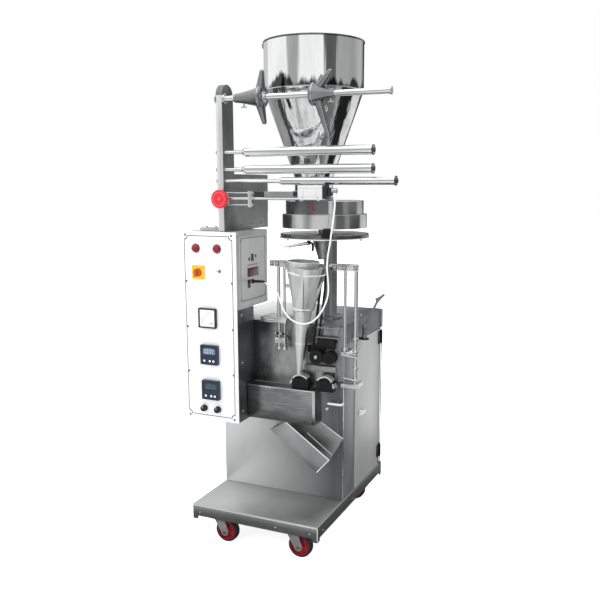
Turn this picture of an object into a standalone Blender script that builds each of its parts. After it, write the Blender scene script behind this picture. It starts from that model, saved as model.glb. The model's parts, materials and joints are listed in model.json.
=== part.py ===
"""Vertical form fill sealer: a small sachet machine on a wheeled tray.

Metres, +Z up. The origin is on the floor, under the middle of the machine. The film side
faces -Y, the film rollers point to +X, and the control box stands at the -X end.
"""
import math

import bmesh
import bpy
from mathutils import Matrix, Vector

# ---------------------------------------------------------------- driving dimensions
GAP = 0.0003                     # clearance between pieces that touch

BASE_X = (-0.3025, 0.1925)
BASE_Y = (-0.338, 0.338)
BASE_TOP = 0.1345
SKIRT = 0.057                    # depth of the tray's skirt at its corners
SKIRT_MIDDLE = 0.045             # depth between the corners
TRAY_SHEET = 0.003

WHEEL_R = 0.043
WHEEL_W = 0.030
CASTER_TRAIL = 0.035
CASTER_X = (-0.212, 0.080)
CASTER_Y = (-0.303, 0.235)

CABINET_X = (-0.3020, 0.1900)
CABINET_Y = (-0.0980, 0.3120)
CABINET_Z = (BASE_TOP + GAP, 0.7885)
SHEET = 0.0025

DOOR_Y = (0.0145, 0.2905)
DOOR_Z = (0.1375, 0.7095)
DOOR_X = (0.1903, 0.1925)
HINGE_PIN = (0.1985, 0.2955)
HINGE_Z = (0.199, 0.676)
LATCH = (0.070, 0.424)           # Y, Z of the latch's spindle
LEVER_POST = (0.2135, 0.050)     # X, Y of the clutch lever's post

PANEL_X = (-0.3950, -0.1675)
PANEL_Z = (0.4195, 1.1125)
PANEL_Y = (-0.2240, -0.2210)
HOUSING_STEP_Z = 0.8370
HOUSING_REAR = 0.0180

COLUMN_X = (-0.2500, -0.2245)
COLUMN_FRONT = -0.2010
COLUMN_REAR_TOP = -0.1238
COLUMN_REAR_LOW = 0.1365
COLUMN_STEP_Z = 1.3133
COLUMN_TOP = 1.6160

ROLLER_Y = -0.1880
REEL_Z = 1.5655
REEL_R = 0.0100
FILM_ROLLERS = (                 # height, tube radius, start and end of the tube
    (1.3863, 0.0157, -0.1420, 0.3230),
    (1.3275, 0.0157, -0.1420, 0.3230),
    (1.2885, 0.0130, -0.0050, 0.4000),
)
OBJECT_RIGHT = 0.4050             # the long roller's tip; the mains gland reaches as far left

SENSOR_Y = -0.2105
SENSOR_Z = 1.2290
KNOB = (-0.2229, 1.2272)         # X, Z of the red knob
KNOB_R = 0.0315

HOPPER = (0.0157, 0.0350)        # X, Y of the hopper's axis
HOPPER_R = 0.1780
HOPPER_TOP = 1.7685
HOPPER_SHOULDER = 1.6020
NECK_R = 0.0695
NECK_TOP = 1.3000
NECK_END = 1.2000

FILLER = (0.0725, 0.0020)        # X, Y of the cup disc's axis
RING_R = 0.1400
DISC_R = 0.1530
TABLE_R = 0.1640
CUP_CIRCLE = 0.1080
CUP_COUNT = 6
FUNNEL = (0.1080, -0.1000)

FORMER_TOP = (0.0580, -0.1500, 1.0160)
FORMER_LEAN = math.radians(2.68)

DRAW_Z = 0.6780
DRAW_ROLLERS = ((0.1040, 0.0255), (0.1525, 0.0225))     # X and radius

APRON_X = (-0.1665, 0.1040)
APRON_Y = (-0.1580, -0.0984)
APRON_Z = (0.4285, 0.5545)

MOTOR_AXIS = (-0.170, 0.205)     # X, Z
SHAFT_AXIS = (0.030, 0.360)
MOTOR_PULLEY_R = 0.030
SHAFT_PULLEY_R = 0.070
BELT_Y = (0.0200, 0.0450)

CORD_R = 0.0028
CORD_ROUTE = (                   # from the gland on the counter plate to the sensor's plug
    (-0.1492, -0.1075, 0.9290),
    (-0.1350, -0.1100, 0.9300),
    (-0.1080, -0.1300, 0.9330),
    (-0.0850, -0.1650, 0.9340),
    (-0.0600, -0.1950, 0.9330),
    (-0.0300, -0.2120, 0.9270),
    (-0.0100, -0.2180, 0.9080),
    (0.0020, -0.2200, 0.8790),
    (0.0130, -0.2180, 0.8520),
    (0.0280, -0.2150, 0.8290),
    (0.0500, -0.2110, 0.8130),
    (0.0790, -0.2070, 0.8060),
    (0.1070, -0.2050, 0.8120),
    (0.1300, -0.2040, 0.8290),
    (0.1490, -0.2030, 0.8540),
    (0.1640, -0.2020, 0.8850),
    (0.1720, -0.2010, 0.9200),
    (0.1710, -0.2010, 0.9600),
    (0.1670, -0.2000, 1.0000),
    (0.1690, -0.1990, 1.0400),
    (0.1760, -0.1990, 1.0800),
    (0.1830, -0.2000, 1.1250),
    (0.1890, -0.2000, 1.1650),
    (0.1930, -0.2000, 1.2000),
    (0.1940, -0.2000, 1.2240),
)

# ---------------------------------------------------------------- scene and helpers
for stale in list(bpy.data.objects):
    bpy.data.objects.remove(stale, do_unlink=True)

MACHINE = bpy.data.collections.new("vertical_form_fill_sealer")
TOOLS = bpy.data.collections.new("tool_bodies")
for collection in (MACHINE, TOOLS):
    bpy.context.scene.collection.children.link(collection)

FINISHES = {                     # colour, roughness, metallic
    "brushed": ((0.55, 0.55, 0.55), 0.35, 1.0),
    "polished": ((0.82, 0.82, 0.82), 0.08, 1.0),
    "aluminium": ((0.62, 0.63, 0.64), 0.32, 1.0),
    "white_paint": ((0.86, 0.87, 0.88), 0.4, 0.0),
    "grey_paint": ((0.33, 0.35, 0.36), 0.45, 0.0),
    "zinc": ((0.58, 0.59, 0.60), 0.4, 1.0),
    "black": ((0.02, 0.02, 0.022), 0.45, 0.0),
    "navy": ((0.02, 0.035, 0.08), 0.35, 0.0),
    "red": ((0.72, 0.04, 0.06), 0.35, 0.0),
    "lamp_red": ((0.40, 0.02, 0.06), 0.15, 0.0),
    "yellow": ((0.95, 0.72, 0.05), 0.4, 0.0),
    "rubber": ((0.03, 0.03, 0.03), 0.8, 0.0),
    "cord": ((0.88, 0.88, 0.87), 0.5, 0.0),
}


def finish(name):
    """Return the Principled material of one finish, made on first use."""
    if name in bpy.data.materials:
        return bpy.data.materials[name]
    colour, roughness, metallic = FINISHES[name]
    made = bpy.data.materials.new(name)
    made.use_nodes = True
    shader = made.node_tree.nodes["Principled BSDF"]
    shader.inputs["Base Color"].default_value = (*colour, 1.0)
    shader.inputs["Roughness"].default_value = roughness
    shader.inputs["Metallic"].default_value = metallic
    made.diffuse_color = (*colour, 1.0)
    return made


def add(name, data, matt=None, origin=(0, 0, 0)):
    """Link a new object; with no material it is a tool body, used by a modifier only."""
    made = bpy.data.objects.new(name, data)
    made.location = origin
    if matt is None:
        made.hide_render = True
        made.display_type = "WIRE"
        TOOLS.objects.link(made)
    else:
        data.materials.append(finish(matt))
        MACHINE.objects.link(made)
    return made


def mesh_object(name, bm, matt, origin):
    """Turn a bmesh given in world coordinates into an object with its origin at a point."""
    bmesh.ops.translate(bm, verts=bm.verts, vec=-Vector(origin))
    bmesh.ops.recalc_face_normals(bm, faces=bm.faces)
    data = bpy.data.meshes.new(name)
    bm.to_mesh(data)
    bm.free()
    return add(name, data, matt, origin)


def box(name, x, y, z, matt=None, origin=None, bevel=0.0):
    """A box between two corners; its origin is its middle unless a joint's axis is given."""
    low = Vector((x[0], y[0], z[0]))
    high = Vector((x[1], y[1], z[1]))
    middle = (low + high) / 2
    bm = bmesh.new()
    bmesh.ops.create_cube(bm, size=1.0)
    bmesh.ops.scale(bm, verts=bm.verts, vec=high - low)
    bmesh.ops.translate(bm, verts=bm.verts, vec=middle)
    made = mesh_object(name, bm, matt, middle if origin is None else origin)
    if bevel:
        soften(made, bevel)
    return made


def soften(target, width, segments=2):
    """Round an object's sharp edges."""
    step = target.modifiers.new("edges", "BEVEL")
    step.width = width
    step.segments = segments
    step.limit_method = "ANGLE"
    step.angle_limit = math.radians(50)


def rod(name, start, end, radius, matt=None, origin=None, sides=16, end_radius=None):
    """A cylinder, or a cone, between two points."""
    start = Vector(start)
    end = Vector(end)
    along = end - start
    turn = Vector((0, 0, 1)).rotation_difference(along).to_matrix().to_4x4()
    bm = bmesh.new()
    bmesh.ops.create_cone(bm, cap_ends=True, segments=sides, radius1=radius,
                          radius2=radius if end_radius is None else end_radius,
                          depth=along.length,
                          matrix=Matrix.Translation((start + end) / 2) @ turn)
    made = mesh_object(name, bm, matt, (start + end) / 2 if origin is None else origin)
    made.data.shade_smooth()
    made.data.set_sharp_from_angle(angle=math.radians(40))
    return made


AXIS_TURNS = {                   # turns the profile's Z axis to the part's own axis
    "Z": Matrix.Identity(4),
    "X": Matrix.Rotation(math.radians(90), 4, "Y"),
    "Y": Matrix.Rotation(math.radians(-90), 4, "X"),
}


def turned(name, profile, origin, matt=None, axis="Z", sides=24, closed=True, sweep=360.0):
    """Spin a profile of (radius, height) points, listed down the outside and up the bore."""
    bm = bmesh.new()
    corners = [bm.verts.new((radius, 0, height)) for radius, height in profile]
    for first, second in zip(corners, corners[1:]):
        bm.edges.new((first, second))
    if closed:
        bm.edges.new((corners[-1], corners[0]))
    data = bpy.data.meshes.new(name)
    bm.to_mesh(data)
    bm.free()
    made = add(name, data, matt, origin)
    made.rotation_euler = AXIS_TURNS[axis].to_euler()
    screw = made.modifiers.new("turn", "SCREW")
    screw.angle = math.radians(sweep)
    screw.steps = sides
    screw.render_steps = sides
    screw.use_merge_vertices = True
    screw.merge_threshold = 0.00001
    screw.use_smooth_shade = True
    return made


def prism(name, outline, span, axis, matt=None, origin=None):
    """Extrude an outline along an axis: (Y, Z) points along X, (X, Z) along Y, (X, Y) along Z."""
    place = {
        "X": lambda a, b, s: (s, a, b),
        "Y": lambda a, b, s: (a, s, b),
        "Z": lambda a, b, s: (a, b, s),
    }[axis]
    bm = bmesh.new()
    near = [bm.verts.new(place(a, b, span[0])) for a, b in outline]
    cap = bm.faces.new(near)
    grown = bmesh.ops.extrude_face_region(bm, geom=[cap])["geom"]
    shift = Vector(place(0, 0, span[1] - span[0]))
    moved = [item for item in grown if isinstance(item, bmesh.types.BMVert)]
    bmesh.ops.translate(bm, verts=moved, vec=shift)
    centre = sum((v.co for v in bm.verts), Vector()) / len(bm.verts)
    return mesh_object(name, bm, matt, centre if origin is None else origin)


def combine(target, operation, *tools):
    """Join tool bodies to an object, or cut them from it."""
    for tool in tools:
        step = target.modifiers.new(tool.name, "BOOLEAN")
        step.operation = operation
        step.object = tool
    return target


def join(target, *tools):
    return combine(target, "UNION", *tools)


def cut(target, *tools):
    return combine(target, "DIFFERENCE", *tools)


def arc(centre, radius, start, end, steps):
    """Points on an arc, angles in degrees."""
    angles = [math.radians(start + (end - start) * i / steps) for i in range(steps + 1)]
    return [(centre[0] + radius * math.cos(a), centre[1] + radius * math.sin(a)) for a in angles]


# ---------------------------------------------------------------- tray and casters
def base_tray():
    """Folded sheet tray, open below, with skirts that are shallower between the corners."""
    tray = box("base_tray", BASE_X, BASE_Y, (BASE_TOP - SKIRT, BASE_TOP), "brushed")
    inner = box("tray_inside",
                (BASE_X[0] + TRAY_SHEET, BASE_X[1] - TRAY_SHEET),
                (BASE_Y[0] + TRAY_SHEET, BASE_Y[1] - TRAY_SHEET),
                (BASE_TOP - SKIRT - 0.01, BASE_TOP - TRAY_SHEET))
    relief_z = (BASE_TOP - SKIRT - 0.01, BASE_TOP - SKIRT_MIDDLE)
    corner = 0.022
    along_x = box("tray_relief_x", (BASE_X[0] + corner, BASE_X[1] - corner),
                  (BASE_Y[0] - 0.01, BASE_Y[1] + 0.01), relief_z)
    along_y = box("tray_relief_y", (BASE_X[0] - 0.01, BASE_X[1] + 0.01),
                  (BASE_Y[0] + corner, BASE_Y[1] - corner), relief_z)
    cut(tray, inner, along_x, along_y)


def caster(name, x, y):
    """Swivel caster: a fork under a turntable, and a wheel that trails towards +X."""
    pivot = (x, y, BASE_TOP - TRAY_SHEET)
    top = BASE_TOP - TRAY_SHEET - GAP
    leg_in = WHEEL_W / 2 + 0.003
    leg_out = leg_in + 0.003
    axle = (x + CASTER_TRAIL, WHEEL_R)
    fork = rod(name + "_fork", (x, y, top - 0.008), (x, y, top), 0.026, "zinc", pivot)
    bridge = box(name + "_bridge", (x - 0.018, x + 0.018), (y - leg_out, y + leg_out),
                 (top - 0.011, top - 0.006))
    outline = [(x - 0.018, top - 0.007), (x + 0.018, top - 0.007), (x + 0.020, 0.096),
               (axle[0] + 0.013, axle[1])]
    outline += arc(axle, 0.013, -20, -160, 4)
    outline += [(axle[0] - 0.014, axle[1] + 0.006), (x - 0.018, 0.096)]
    legs = [prism(name + "_leg_" + side, outline, span, "Y") for side, span in
            (("front", (y - leg_out, y - leg_in)), ("rear", (y + leg_in, y + leg_out)))]
    pin = rod(name + "_pin", (axle[0], y - leg_out - 0.003, axle[1]),
              (axle[0], y + leg_out + 0.003, axle[1]), 0.005, sides=16)
    join(fork, bridge, *legs, pin)
    half = WHEEL_W / 2
    web = half - 0.005
    wheel = [(0.0400, half), (WHEEL_R, web), (WHEEL_R, -web), (0.0400, -half), (0.0310, -half),
             (0.0290, -web), (0.0054, -web), (0.0054, web), (0.0290, web), (0.0310, half)]
    turned(name + "_wheel", wheel, (axle[0], y, axle[1]), "red", "Y", 20)


def casters():
    for row, y in (("front", CASTER_Y[0]), ("rear", CASTER_Y[1])):
        for side, x in (("left", CASTER_X[0]), ("right", CASTER_X[1])):
            caster(f"caster_{row}_{side}", x, y)


# ---------------------------------------------------------------- cabinet
def cabinet():
    """Sheet cabinet, open below, with a doorway on its right and two shaft holes in front."""
    shell = box("cabinet_shell", CABINET_X, CABINET_Y, CABINET_Z, "brushed")
    inside = box("cabinet_inside",
                 (CABINET_X[0] + SHEET, CABINET_X[1] - SHEET),
                 (CABINET_Y[0] + SHEET, CABINET_Y[1] - SHEET),
                 (CABINET_Z[0] - 0.01, CABINET_Z[1] - SHEET))
    frame = 0.006
    doorway = box("cabinet_doorway", (CABINET_X[1] - 0.02, CABINET_X[1] + 0.01),
                  (DOOR_Y[0] + frame, DOOR_Y[1] - frame), (DOOR_Z[0] + frame, DOOR_Z[1] - frame))
    holes = [rod(f"cabinet_shaft_hole_{i}", (x, CABINET_Y[0] - 0.01, DRAW_Z),
                 (x, CABINET_Y[0] + 0.01, DRAW_Z), 0.0075, sides=20)
             for i, (x, _) in enumerate(DRAW_ROLLERS)]
    cut(shell, inside, doorway, *holes)


def side_door():
    """Door on the right side, its hinge pin behind it and a turning latch."""
    hinge = (*HINGE_PIN, DOOR_Z[0])
    box("side_door", DOOR_X, DOOR_Y, DOOR_Z, "brushed", hinge)
    pin_r = 0.0020
    knuckle_r = 0.0045
    half = 0.026
    profile = [(0, DOOR_Z[1]), (pin_r, DOOR_Z[1])]
    for z in reversed(HINGE_Z):
        profile += [(pin_r, z + half), (knuckle_r, z + half), (knuckle_r, z - half),
                    (pin_r, z - half)]
    profile += [(pin_r, DOOR_Z[0]), (0, DOOR_Z[0])]
    turned("door_hinge_pin", profile, (*HINGE_PIN, 0), "black", sides=16, closed=False)
    face = DOOR_X[1] + GAP
    spindle = (face, *LATCH)
    latch = rod("door_latch", (face, *LATCH), (face + 0.014, *LATCH), 0.010, "zinc", spindle)
    grip = box("door_latch_grip", (face + 0.006, face + 0.012), (LATCH[0] - 0.030, LATCH[0] + 0.034),
               (LATCH[1] - 0.005, LATCH[1] + 0.005))
    join(latch, grip)


def clutch():
    """Clutch lever on a vertical post beside the cabinet."""
    x, y = LEVER_POST
    foot = 0.7185
    post = rod("clutch_lever", (x, y, foot + GAP), (x, y, 0.770), 0.0090, "zinc", (x, y, foot))
    arm = rod("clutch_arm", (x, y, 0.762), (0.266, y, 0.868), 0.0045, sides=16)
    head = rod("clutch_head", (0.258, y, 0.860), (0.290, y, 0.888), 0.0075, sides=16)
    join(post, arm, head)


# ---------------------------------------------------------------- control box
def control_box():
    """Housing with a deeper upper part, closed in front by the white instrument panel."""
    front = PANEL_Y[1] + GAP
    rear_low = CABINET_Y[0] - GAP
    x = (PANEL_X[0] + 0.0015, PANEL_X[1] - 0.0015)
    z = (PANEL_Z[0] + 0.0010, PANEL_Z[1] - 0.0005)
    outline = [(front, z[0]), (rear_low, z[0]), (rear_low, HOUSING_STEP_Z),
               (HOUSING_REAR, HOUSING_STEP_Z), (HOUSING_REAR, z[1]), (front, z[1])]
    housing = prism("control_housing", outline, x, "X", "brushed")
    t = 0.0020
    inner = [(front - 0.01, z[0] + t), (rear_low - t, z[0] + t), (rear_low - t, HOUSING_STEP_Z + t),
             (HOUSING_REAR - t, HOUSING_STEP_Z + t), (HOUSING_REAR - t, z[1] - t),
             (front - 0.01, z[1] - t)]
    cut(housing, prism("control_housing_inside", inner, (x[0] + t, x[1] - t), "X"))
    inlet = (-0.1600, 0.5000)
    gland = rod("mains_gland", (x[0] + 0.001, *inlet), (-OBJECT_RIGHT, *inlet), 0.0120, sides=24)
    mouth = rod("mains_gland_mouth", (x[0] - 0.004, *inlet), (-OBJECT_RIGHT - 0.01, *inlet), 0.0060,
                sides=24)
    join(housing, gland)
    cut(housing, mouth)
    box("control_panel", PANEL_X, PANEL_Y, PANEL_Z, "white_paint")


def panel_instruments():
    """Lamps, switches, meter, temperature controllers and knobs on the instrument panel."""
    face = PANEL_Y[0] - GAP
    for side, x in (("left", -0.3309), ("right", -0.2436)):
        dome = [(0, 0.0150), (0.0080, 0.0135), (0.0130, 0.0095), (0.0145, 0.0045),
                (0.0165, 0.0045), (0.0165, 0), (0, 0)]
        lamp = turned("pilot_lamp_" + side, dome, (x, face, 1.0535), "lamp_red", "Y", 16, False)
        lamp.rotation_euler = (math.radians(90), 0, 0)
    switch = (-0.3225, 0.9670)
    box("main_switch_plate", (switch[0] - 0.026, switch[0] + 0.026), (face - 0.004, face),
        (switch[1] - 0.025, switch[1] + 0.025), "yellow", bevel=0.001)
    axis = (switch[0], face - 0.004 - GAP, switch[1])
    knob = rod("main_switch_knob", (switch[0], axis[1] - 0.012, switch[1]),
               (switch[0], axis[1], switch[1]), 0.0150, "red", axis, 28)
    grip = box("main_switch_grip", (switch[0] - 0.0045, switch[0] + 0.0045),
               (axis[1] - 0.024, axis[1] - 0.010), (switch[1] - 0.014, switch[1] + 0.014))
    join(knob, grip)
    toggle = (-0.2356, 0.9740)
    rod("toggle_lever", (toggle[0], face - 0.002, toggle[1]),
        (toggle[0], face - 0.018, toggle[1] + 0.0016), 0.0018, "zinc",
        (toggle[0], face - 0.002, toggle[1]), 16, 0.0026)
    meter = (-0.2865, 0.8030)
    box("ammeter", (meter[0] - 0.036, meter[0] + 0.036), (face - 0.011, face),
        (meter[1] - 0.036, meter[1] + 0.036), "black", bevel=0.002)
    for level, x, z in (("upper", -0.2810, 0.6680), ("lower", -0.2785, 0.5365)):
        box("temperature_controller_" + level, (x - 0.036, x + 0.036), (face - 0.013, face),
            (z - 0.036, z + 0.036), "navy", bevel=0.002)
    for side, x in (("left", -0.3112), ("right", -0.2538)):
        centre = (x, face, 0.4636)
        profile = [(0, 0.0170), (0.0090, 0.0170), (0.0105, 0.0160), (0.0110, 0.0030),
                   (0.0125, 0.0020), (0.0125, 0), (0, 0)]
        knob = turned("speed_knob_" + side, profile, centre, "black", "Y", 16, False)
        knob.rotation_euler = (math.radians(90), 0, 0)


def counter():
    """Registration counter on the housing's right side, with the sensor cord's gland."""
    face = PANEL_X[1] - 0.0015 + GAP
    plate = box("counter_plate", (face, face + 0.0020), (-0.2000, 0.0000), (0.8580, 1.0960),
                "grey_paint")
    _, y, z = CORD_ROUTE[0]
    end = CORD_ROUTE[0][0] - GAP
    gland = rod("cord_gland", (face + 0.001, y, z), (end, y, z), 0.0065, sides=20,
                end_radius=0.0042)
    join(plate, gland)


# ---------------------------------------------------------------- column, reel and rollers
def column():
    """Stepped plate with a rounded top, standing on the control box."""
    half = (COLUMN_REAR_TOP - COLUMN_FRONT) / 2
    centre = (COLUMN_FRONT + half, COLUMN_TOP - half)
    outline = [(COLUMN_FRONT, PANEL_Z[1] + GAP), (COLUMN_REAR_LOW, PANEL_Z[1] + GAP),
               (COLUMN_REAR_LOW, COLUMN_STEP_Z), (COLUMN_REAR_TOP, COLUMN_STEP_Z)]
    outline += arc(centre, half, 0, 180, 10)
    post = prism("column", outline, COLUMN_X, "X", "aluminium")
    soften(post, 0.001, 1)


def film_rollers():
    """Three idler rollers on journals that turn in the column."""
    left = COLUMN_X[1] + GAP
    journal = 0.0070
    for number, (z, radius, start, end) in enumerate(FILM_ROLLERS, 1):
        tip = OBJECT_RIGHT if number == 3 else end + 0.0040
        profile = [(0, tip), (0.0060, tip), (0.0060, end), (radius, end), (radius, start),
                   (journal, start - 0.012), (journal, left), (0, left)]
        turned(f"film_roller_{number}", profile, (0, ROLLER_Y, z), "polished", "X", 20, False)


def reel_cone(name, left, right, bore_end, wings):
    """Cone that centres the film reel's core, with two wings and a bore for the shaft."""
    big = 0.0360
    small = 0.0150
    bore = REEL_R + 0.0004
    low_r, high_r = (small, big) if bore_end == "left" else (big, small)
    profile = [(high_r, right), (high_r, right - 0.006), (low_r, left + 0.006), (low_r, left),
               (bore, left), (bore, right)]
    axis = (0, ROLLER_Y, REEL_Z)
    cone = turned(name, profile, axis, "zinc", "X", 20)
    parts = []
    for number, (foot, tip) in enumerate(wings):
        wing = rod(f"{name}_wing_{number}", (foot[0], ROLLER_Y, foot[1]),
                   (tip[0], ROLLER_Y, tip[1]), 0.0125, sides=10, end_radius=0.0075)
        parts.append(wing)
    join(cone, *parts)
    reach = 0.02
    cut(cone, rod(name + "_bore", (left - reach, ROLLER_Y, REEL_Z),
                  (right + reach, ROLLER_Y, REEL_Z), bore, sides=24))


def film_reel():
    """Reel shaft that turns in the column, and two cones that slide on it."""
    left = COLUMN_X[1] + GAP
    end = 0.3750
    profile = [(0, end + 0.004), (0.0140, end + 0.004), (0.0140, end), (REEL_R, end),
               (REEL_R, left), (0, left)]
    turned("reel_shaft", profile, (0, ROLLER_Y, REEL_Z), "polished", "X", 20, False)
    reel_cone("reel_cone_left", -0.1800, -0.0700, "left",
              (((-0.0830, REEL_Z + 0.024), (-0.0750, 1.6560)),
               ((-0.0830, REEL_Z - 0.024), (-0.0670, 1.4740))))
    reel_cone("reel_cone_right", 0.1060, 0.1850, "right",
              (((0.1300, REEL_Z + 0.020), (0.1750, 1.6400)),
               ((0.1300, REEL_Z - 0.020), (0.1700, 1.4250))))


def sensor_slide():
    """Mark sensor on a rod that the red knob drives along the film's width."""
    x, z = KNOB
    rear = COLUMN_FRONT - GAP
    front = -0.2213
    rail = box("sensor_rail", (x - 0.0220, x + 0.0180), (front, rear), (z - 0.0225, z + 0.0225),
               "zinc")
    plate_x = (-0.1190, -0.1050)
    end_plate = box("sensor_rail_plate", plate_x, (SENSOR_Y - 0.010, SENSOR_Y + 0.010),
                    (1.2000, 1.2547))
    rods = [rod(f"sensor_rail_rod_{i}", (x + 0.010, SENSOR_Y, h), (plate_x[0] + 0.005, SENSOR_Y, h),
                0.0032, sides=14) for i, h in enumerate((1.2075, 1.2482))]
    join(rail, end_plate, *rods)
    slide_from = x + 0.0185
    cut(rail, rod("sensor_rail_bore", (x - 0.018, SENSOR_Y, SENSOR_Z), (-0.09, SENSOR_Y, SENSOR_Z),
                  0.0047, sides=20))
    knob_profile = [(0, 0.0200), (0.0200, 0.0200), (0.0240, 0.0185), (KNOB_R - 0.002, 0.0185),
                    (KNOB_R, 0.0165), (KNOB_R, 0.0050), (KNOB_R - 0.002, 0.0030),
                    (0.0100, 0.0030), (0.0100, 0), (0, 0)]
    knob = turned("red_knob", knob_profile, (x, front - GAP, z), "red", "Y", 24, False)
    knob.rotation_euler = (math.radians(90), 0, 0)
    sensor = box("mark_sensor", (0.0645, 0.1535), (-0.2130, -0.1870), (1.2269, 1.2745),
                 "white_paint", (0.0645, SENSOR_Y, SENSOR_Z))
    shaft = rod("mark_sensor_rod", (slide_from - 0.0040, SENSOR_Y, SENSOR_Z),
                (0.070, SENSOR_Y, SENSOR_Z), 0.0042, sides=20)
    bar = box("mark_sensor_bar", (-0.0600, 0.0680), (-0.2125, -0.2085), (1.2300, 1.2535))
    head = box("mark_sensor_head", (0.1500, 0.1830), (-0.2120, -0.1880), (1.2300, 1.2730))
    plug_x, plug_y, plug_z = CORD_ROUTE[-1]
    socket = rod("mark_sensor_socket", (0.1780, plug_y, 1.2560), (plug_x + 0.008, plug_y, 1.2560),
                 0.0085, sides=20)
    plug = rod("mark_sensor_plug", (plug_x, plug_y, plug_z + GAP), (plug_x, plug_y, 1.2600), 0.0060,
               sides=20)
    join(sensor, shaft, bar, head, socket, plug)


# ---------------------------------------------------------------- hopper and cup filler
def hopper():
    """Round hopper with a beaded rim, a cone and a neck; open at both ends."""
    wall = 0.0015
    bead = 0.0025
    profile = [(HOPPER_R + bead, HOPPER_TOP), (HOPPER_R + bead, HOPPER_TOP - 0.005),
               (HOPPER_R, HOPPER_TOP - 0.006), (HOPPER_R, HOPPER_SHOULDER), (NECK_R, NECK_TOP),
               (NECK_R, NECK_END), (NECK_R - wall, NECK_END), (NECK_R - wall, NECK_TOP),
               (HOPPER_R - wall, HOPPER_SHOULDER), (HOPPER_R - wall, HOPPER_TOP)]
    turned("hopper", profile, (*HOPPER, 0), "polished", sides=40)


def hopper_arm():
    """Bar from the column to a clamp ring round the hopper's neck."""
    low = 1.2208
    high = 1.2540
    inner = NECK_R + 0.0004
    outer = inner + 0.0070
    ring = [(outer, high), (outer, low), (inner, low), (inner, high)]
    clamp = turned("hopper_arm", ring, (*HOPPER, 0), "zinc", sides=32)
    bar = box("hopper_arm_bar", (COLUMN_X[1] + GAP, HOPPER[0] - inner - 0.002),
              (HOPPER[1] - 0.006, HOPPER[1] + 0.006), (low + 0.008, high - 0.004))
    join(clamp, bar)


def filler():
    """Fixed guard ring, turning cup disc, and the table on its pillar with the funnel below."""
    x, y = FILLER
    ring_z = (1.1750, 1.2205)
    wall = 0.0020
    guard = rod("filler_guard", (x, y, ring_z[0]), (x, y, ring_z[1]), RING_R, "brushed", sides=40)
    room = rod("filler_guard_inside", (x, y, ring_z[0] - 0.01), (x, y, ring_z[1] - wall),
               RING_R - wall, sides=40)
    neck = rod("filler_guard_neck", (*HOPPER, ring_z[0]), (*HOPPER, ring_z[1] + 0.01),
               NECK_R + 0.0005, sides=40)
    cut(guard, room, neck)

    disc_z = (1.1245, 1.1740)
    plate = 0.0060
    hub = 0.0225
    bore = 0.0126
    profile = [(DISC_R, disc_z[1]), (DISC_R, disc_z[0]), (DISC_R - wall, disc_z[0]),
               (DISC_R - wall, disc_z[1] - plate), (hub, disc_z[1] - plate), (hub, disc_z[0]),
               (bore, disc_z[0]), (bore, disc_z[1])]
    disc = turned("cup_disc", profile, (x, y, 0), "brushed", sides=40)
    spots = []
    for i in range(CUP_COUNT):
        angle = 2 * math.pi * i / CUP_COUNT + math.atan2(FUNNEL[1] - y, FUNNEL[0] - x)
        spots.append((x + CUP_CIRCLE * math.cos(angle), y + CUP_CIRCLE * math.sin(angle)))
    cups = [rod(f"cup_{i}", (*spot, disc_z[0] + 0.003), (*spot, disc_z[1] - 0.002), 0.0260, sides=16)
            for i, spot in enumerate(spots)]
    bores = [rod(f"cup_bore_{i}", (*spot, disc_z[0] - 0.01), (*spot, disc_z[1] + 0.01), 0.0235,
                 sides=16) for i, spot in enumerate(spots)]
    join(disc, *cups)
    cut(disc, *bores)

    table_z = (1.0875, 1.1055)
    table = rod("filler_table", (x, y, table_z[0]), (x, y, table_z[1]), TABLE_R, "grey_paint",
                sides=40)
    pillar_at = (0.085, 0.030)
    pillar = rod("filler_pillar", (*pillar_at, CABINET_Z[1] + GAP), (*pillar_at, table_z[1] - 0.002),
                 0.0250, sides=20)
    spindle = rod("filler_spindle", (x, y, table_z[1] - 0.004), (x, y, 1.1850), 0.0122, sides=20)
    join(table, pillar, spindle)
    cut(table, rod("filler_outlet", (*FUNNEL, table_z[0] - 0.01), (*FUNNEL, table_z[1] + 0.01),
                   0.0240, sides=20))

    top = table_z[0] - GAP
    cone = [(0.0400, top), (0.0400, top - 0.003), (0.0350, top - 0.003), (0.0165, 1.0260),
            (0.0165, 1.0200), (0.0150, 1.0200), (0.0150, 1.0265), (0.0330, top - 0.003),
            (0.0330, top)]
    turned("discharge_funnel", cone, (*FUNNEL, 0), "brushed", sides=20)


# ---------------------------------------------------------------- film former and its frame
def former():
    """Leaning forming tube that tapers to the sealing jaws, and a half collar round its back."""
    wall = 0.0015
    shape = [(0.0000, 0.0560), (-0.0380, 0.0560), (-0.1650, 0.0305), (-0.2910, 0.0205),
             (-0.3500, 0.0145), (-0.4050, 0.0080)]
    outer = [(radius, height) for height, radius in shape]
    inner = [(radius - wall, height) for height, radius in reversed(shape)]
    tube = turned("forming_tube", outer + inner, FORMER_TOP, "brushed", sides=24)
    tube.rotation_euler = (0, FORMER_LEAN, 0)
    thick = 0.0020
    collar = [(0.0860, -0.018), (0.0370, -0.175), (0.0370 - thick, -0.175), (0.0860 - thick, -0.018)]
    half = turned("film_collar", collar, FORMER_TOP, "brushed", sides=14, sweep=170)
    half.rotation_euler = (0, FORMER_LEAN, math.radians(-65))
    cap_ends(half)


def cap_ends(target):
    """Close the two flat ends that a part turn leaves open."""
    graph = bpy.context.evaluated_depsgraph_get()
    solid = bpy.data.meshes.new_from_object(target.evaluated_get(graph))
    bm = bmesh.new()
    bm.from_mesh(solid)
    bmesh.ops.remove_doubles(bm, verts=bm.verts, dist=0.00001)
    bmesh.ops.holes_fill(bm, edges=[edge for edge in bm.edges if edge.is_boundary], sides=0)
    bmesh.ops.recalc_face_normals(bm, faces=bm.faces)
    bm.to_mesh(solid)
    bm.free()
    target.modifiers.clear()
    target.data = solid


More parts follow.
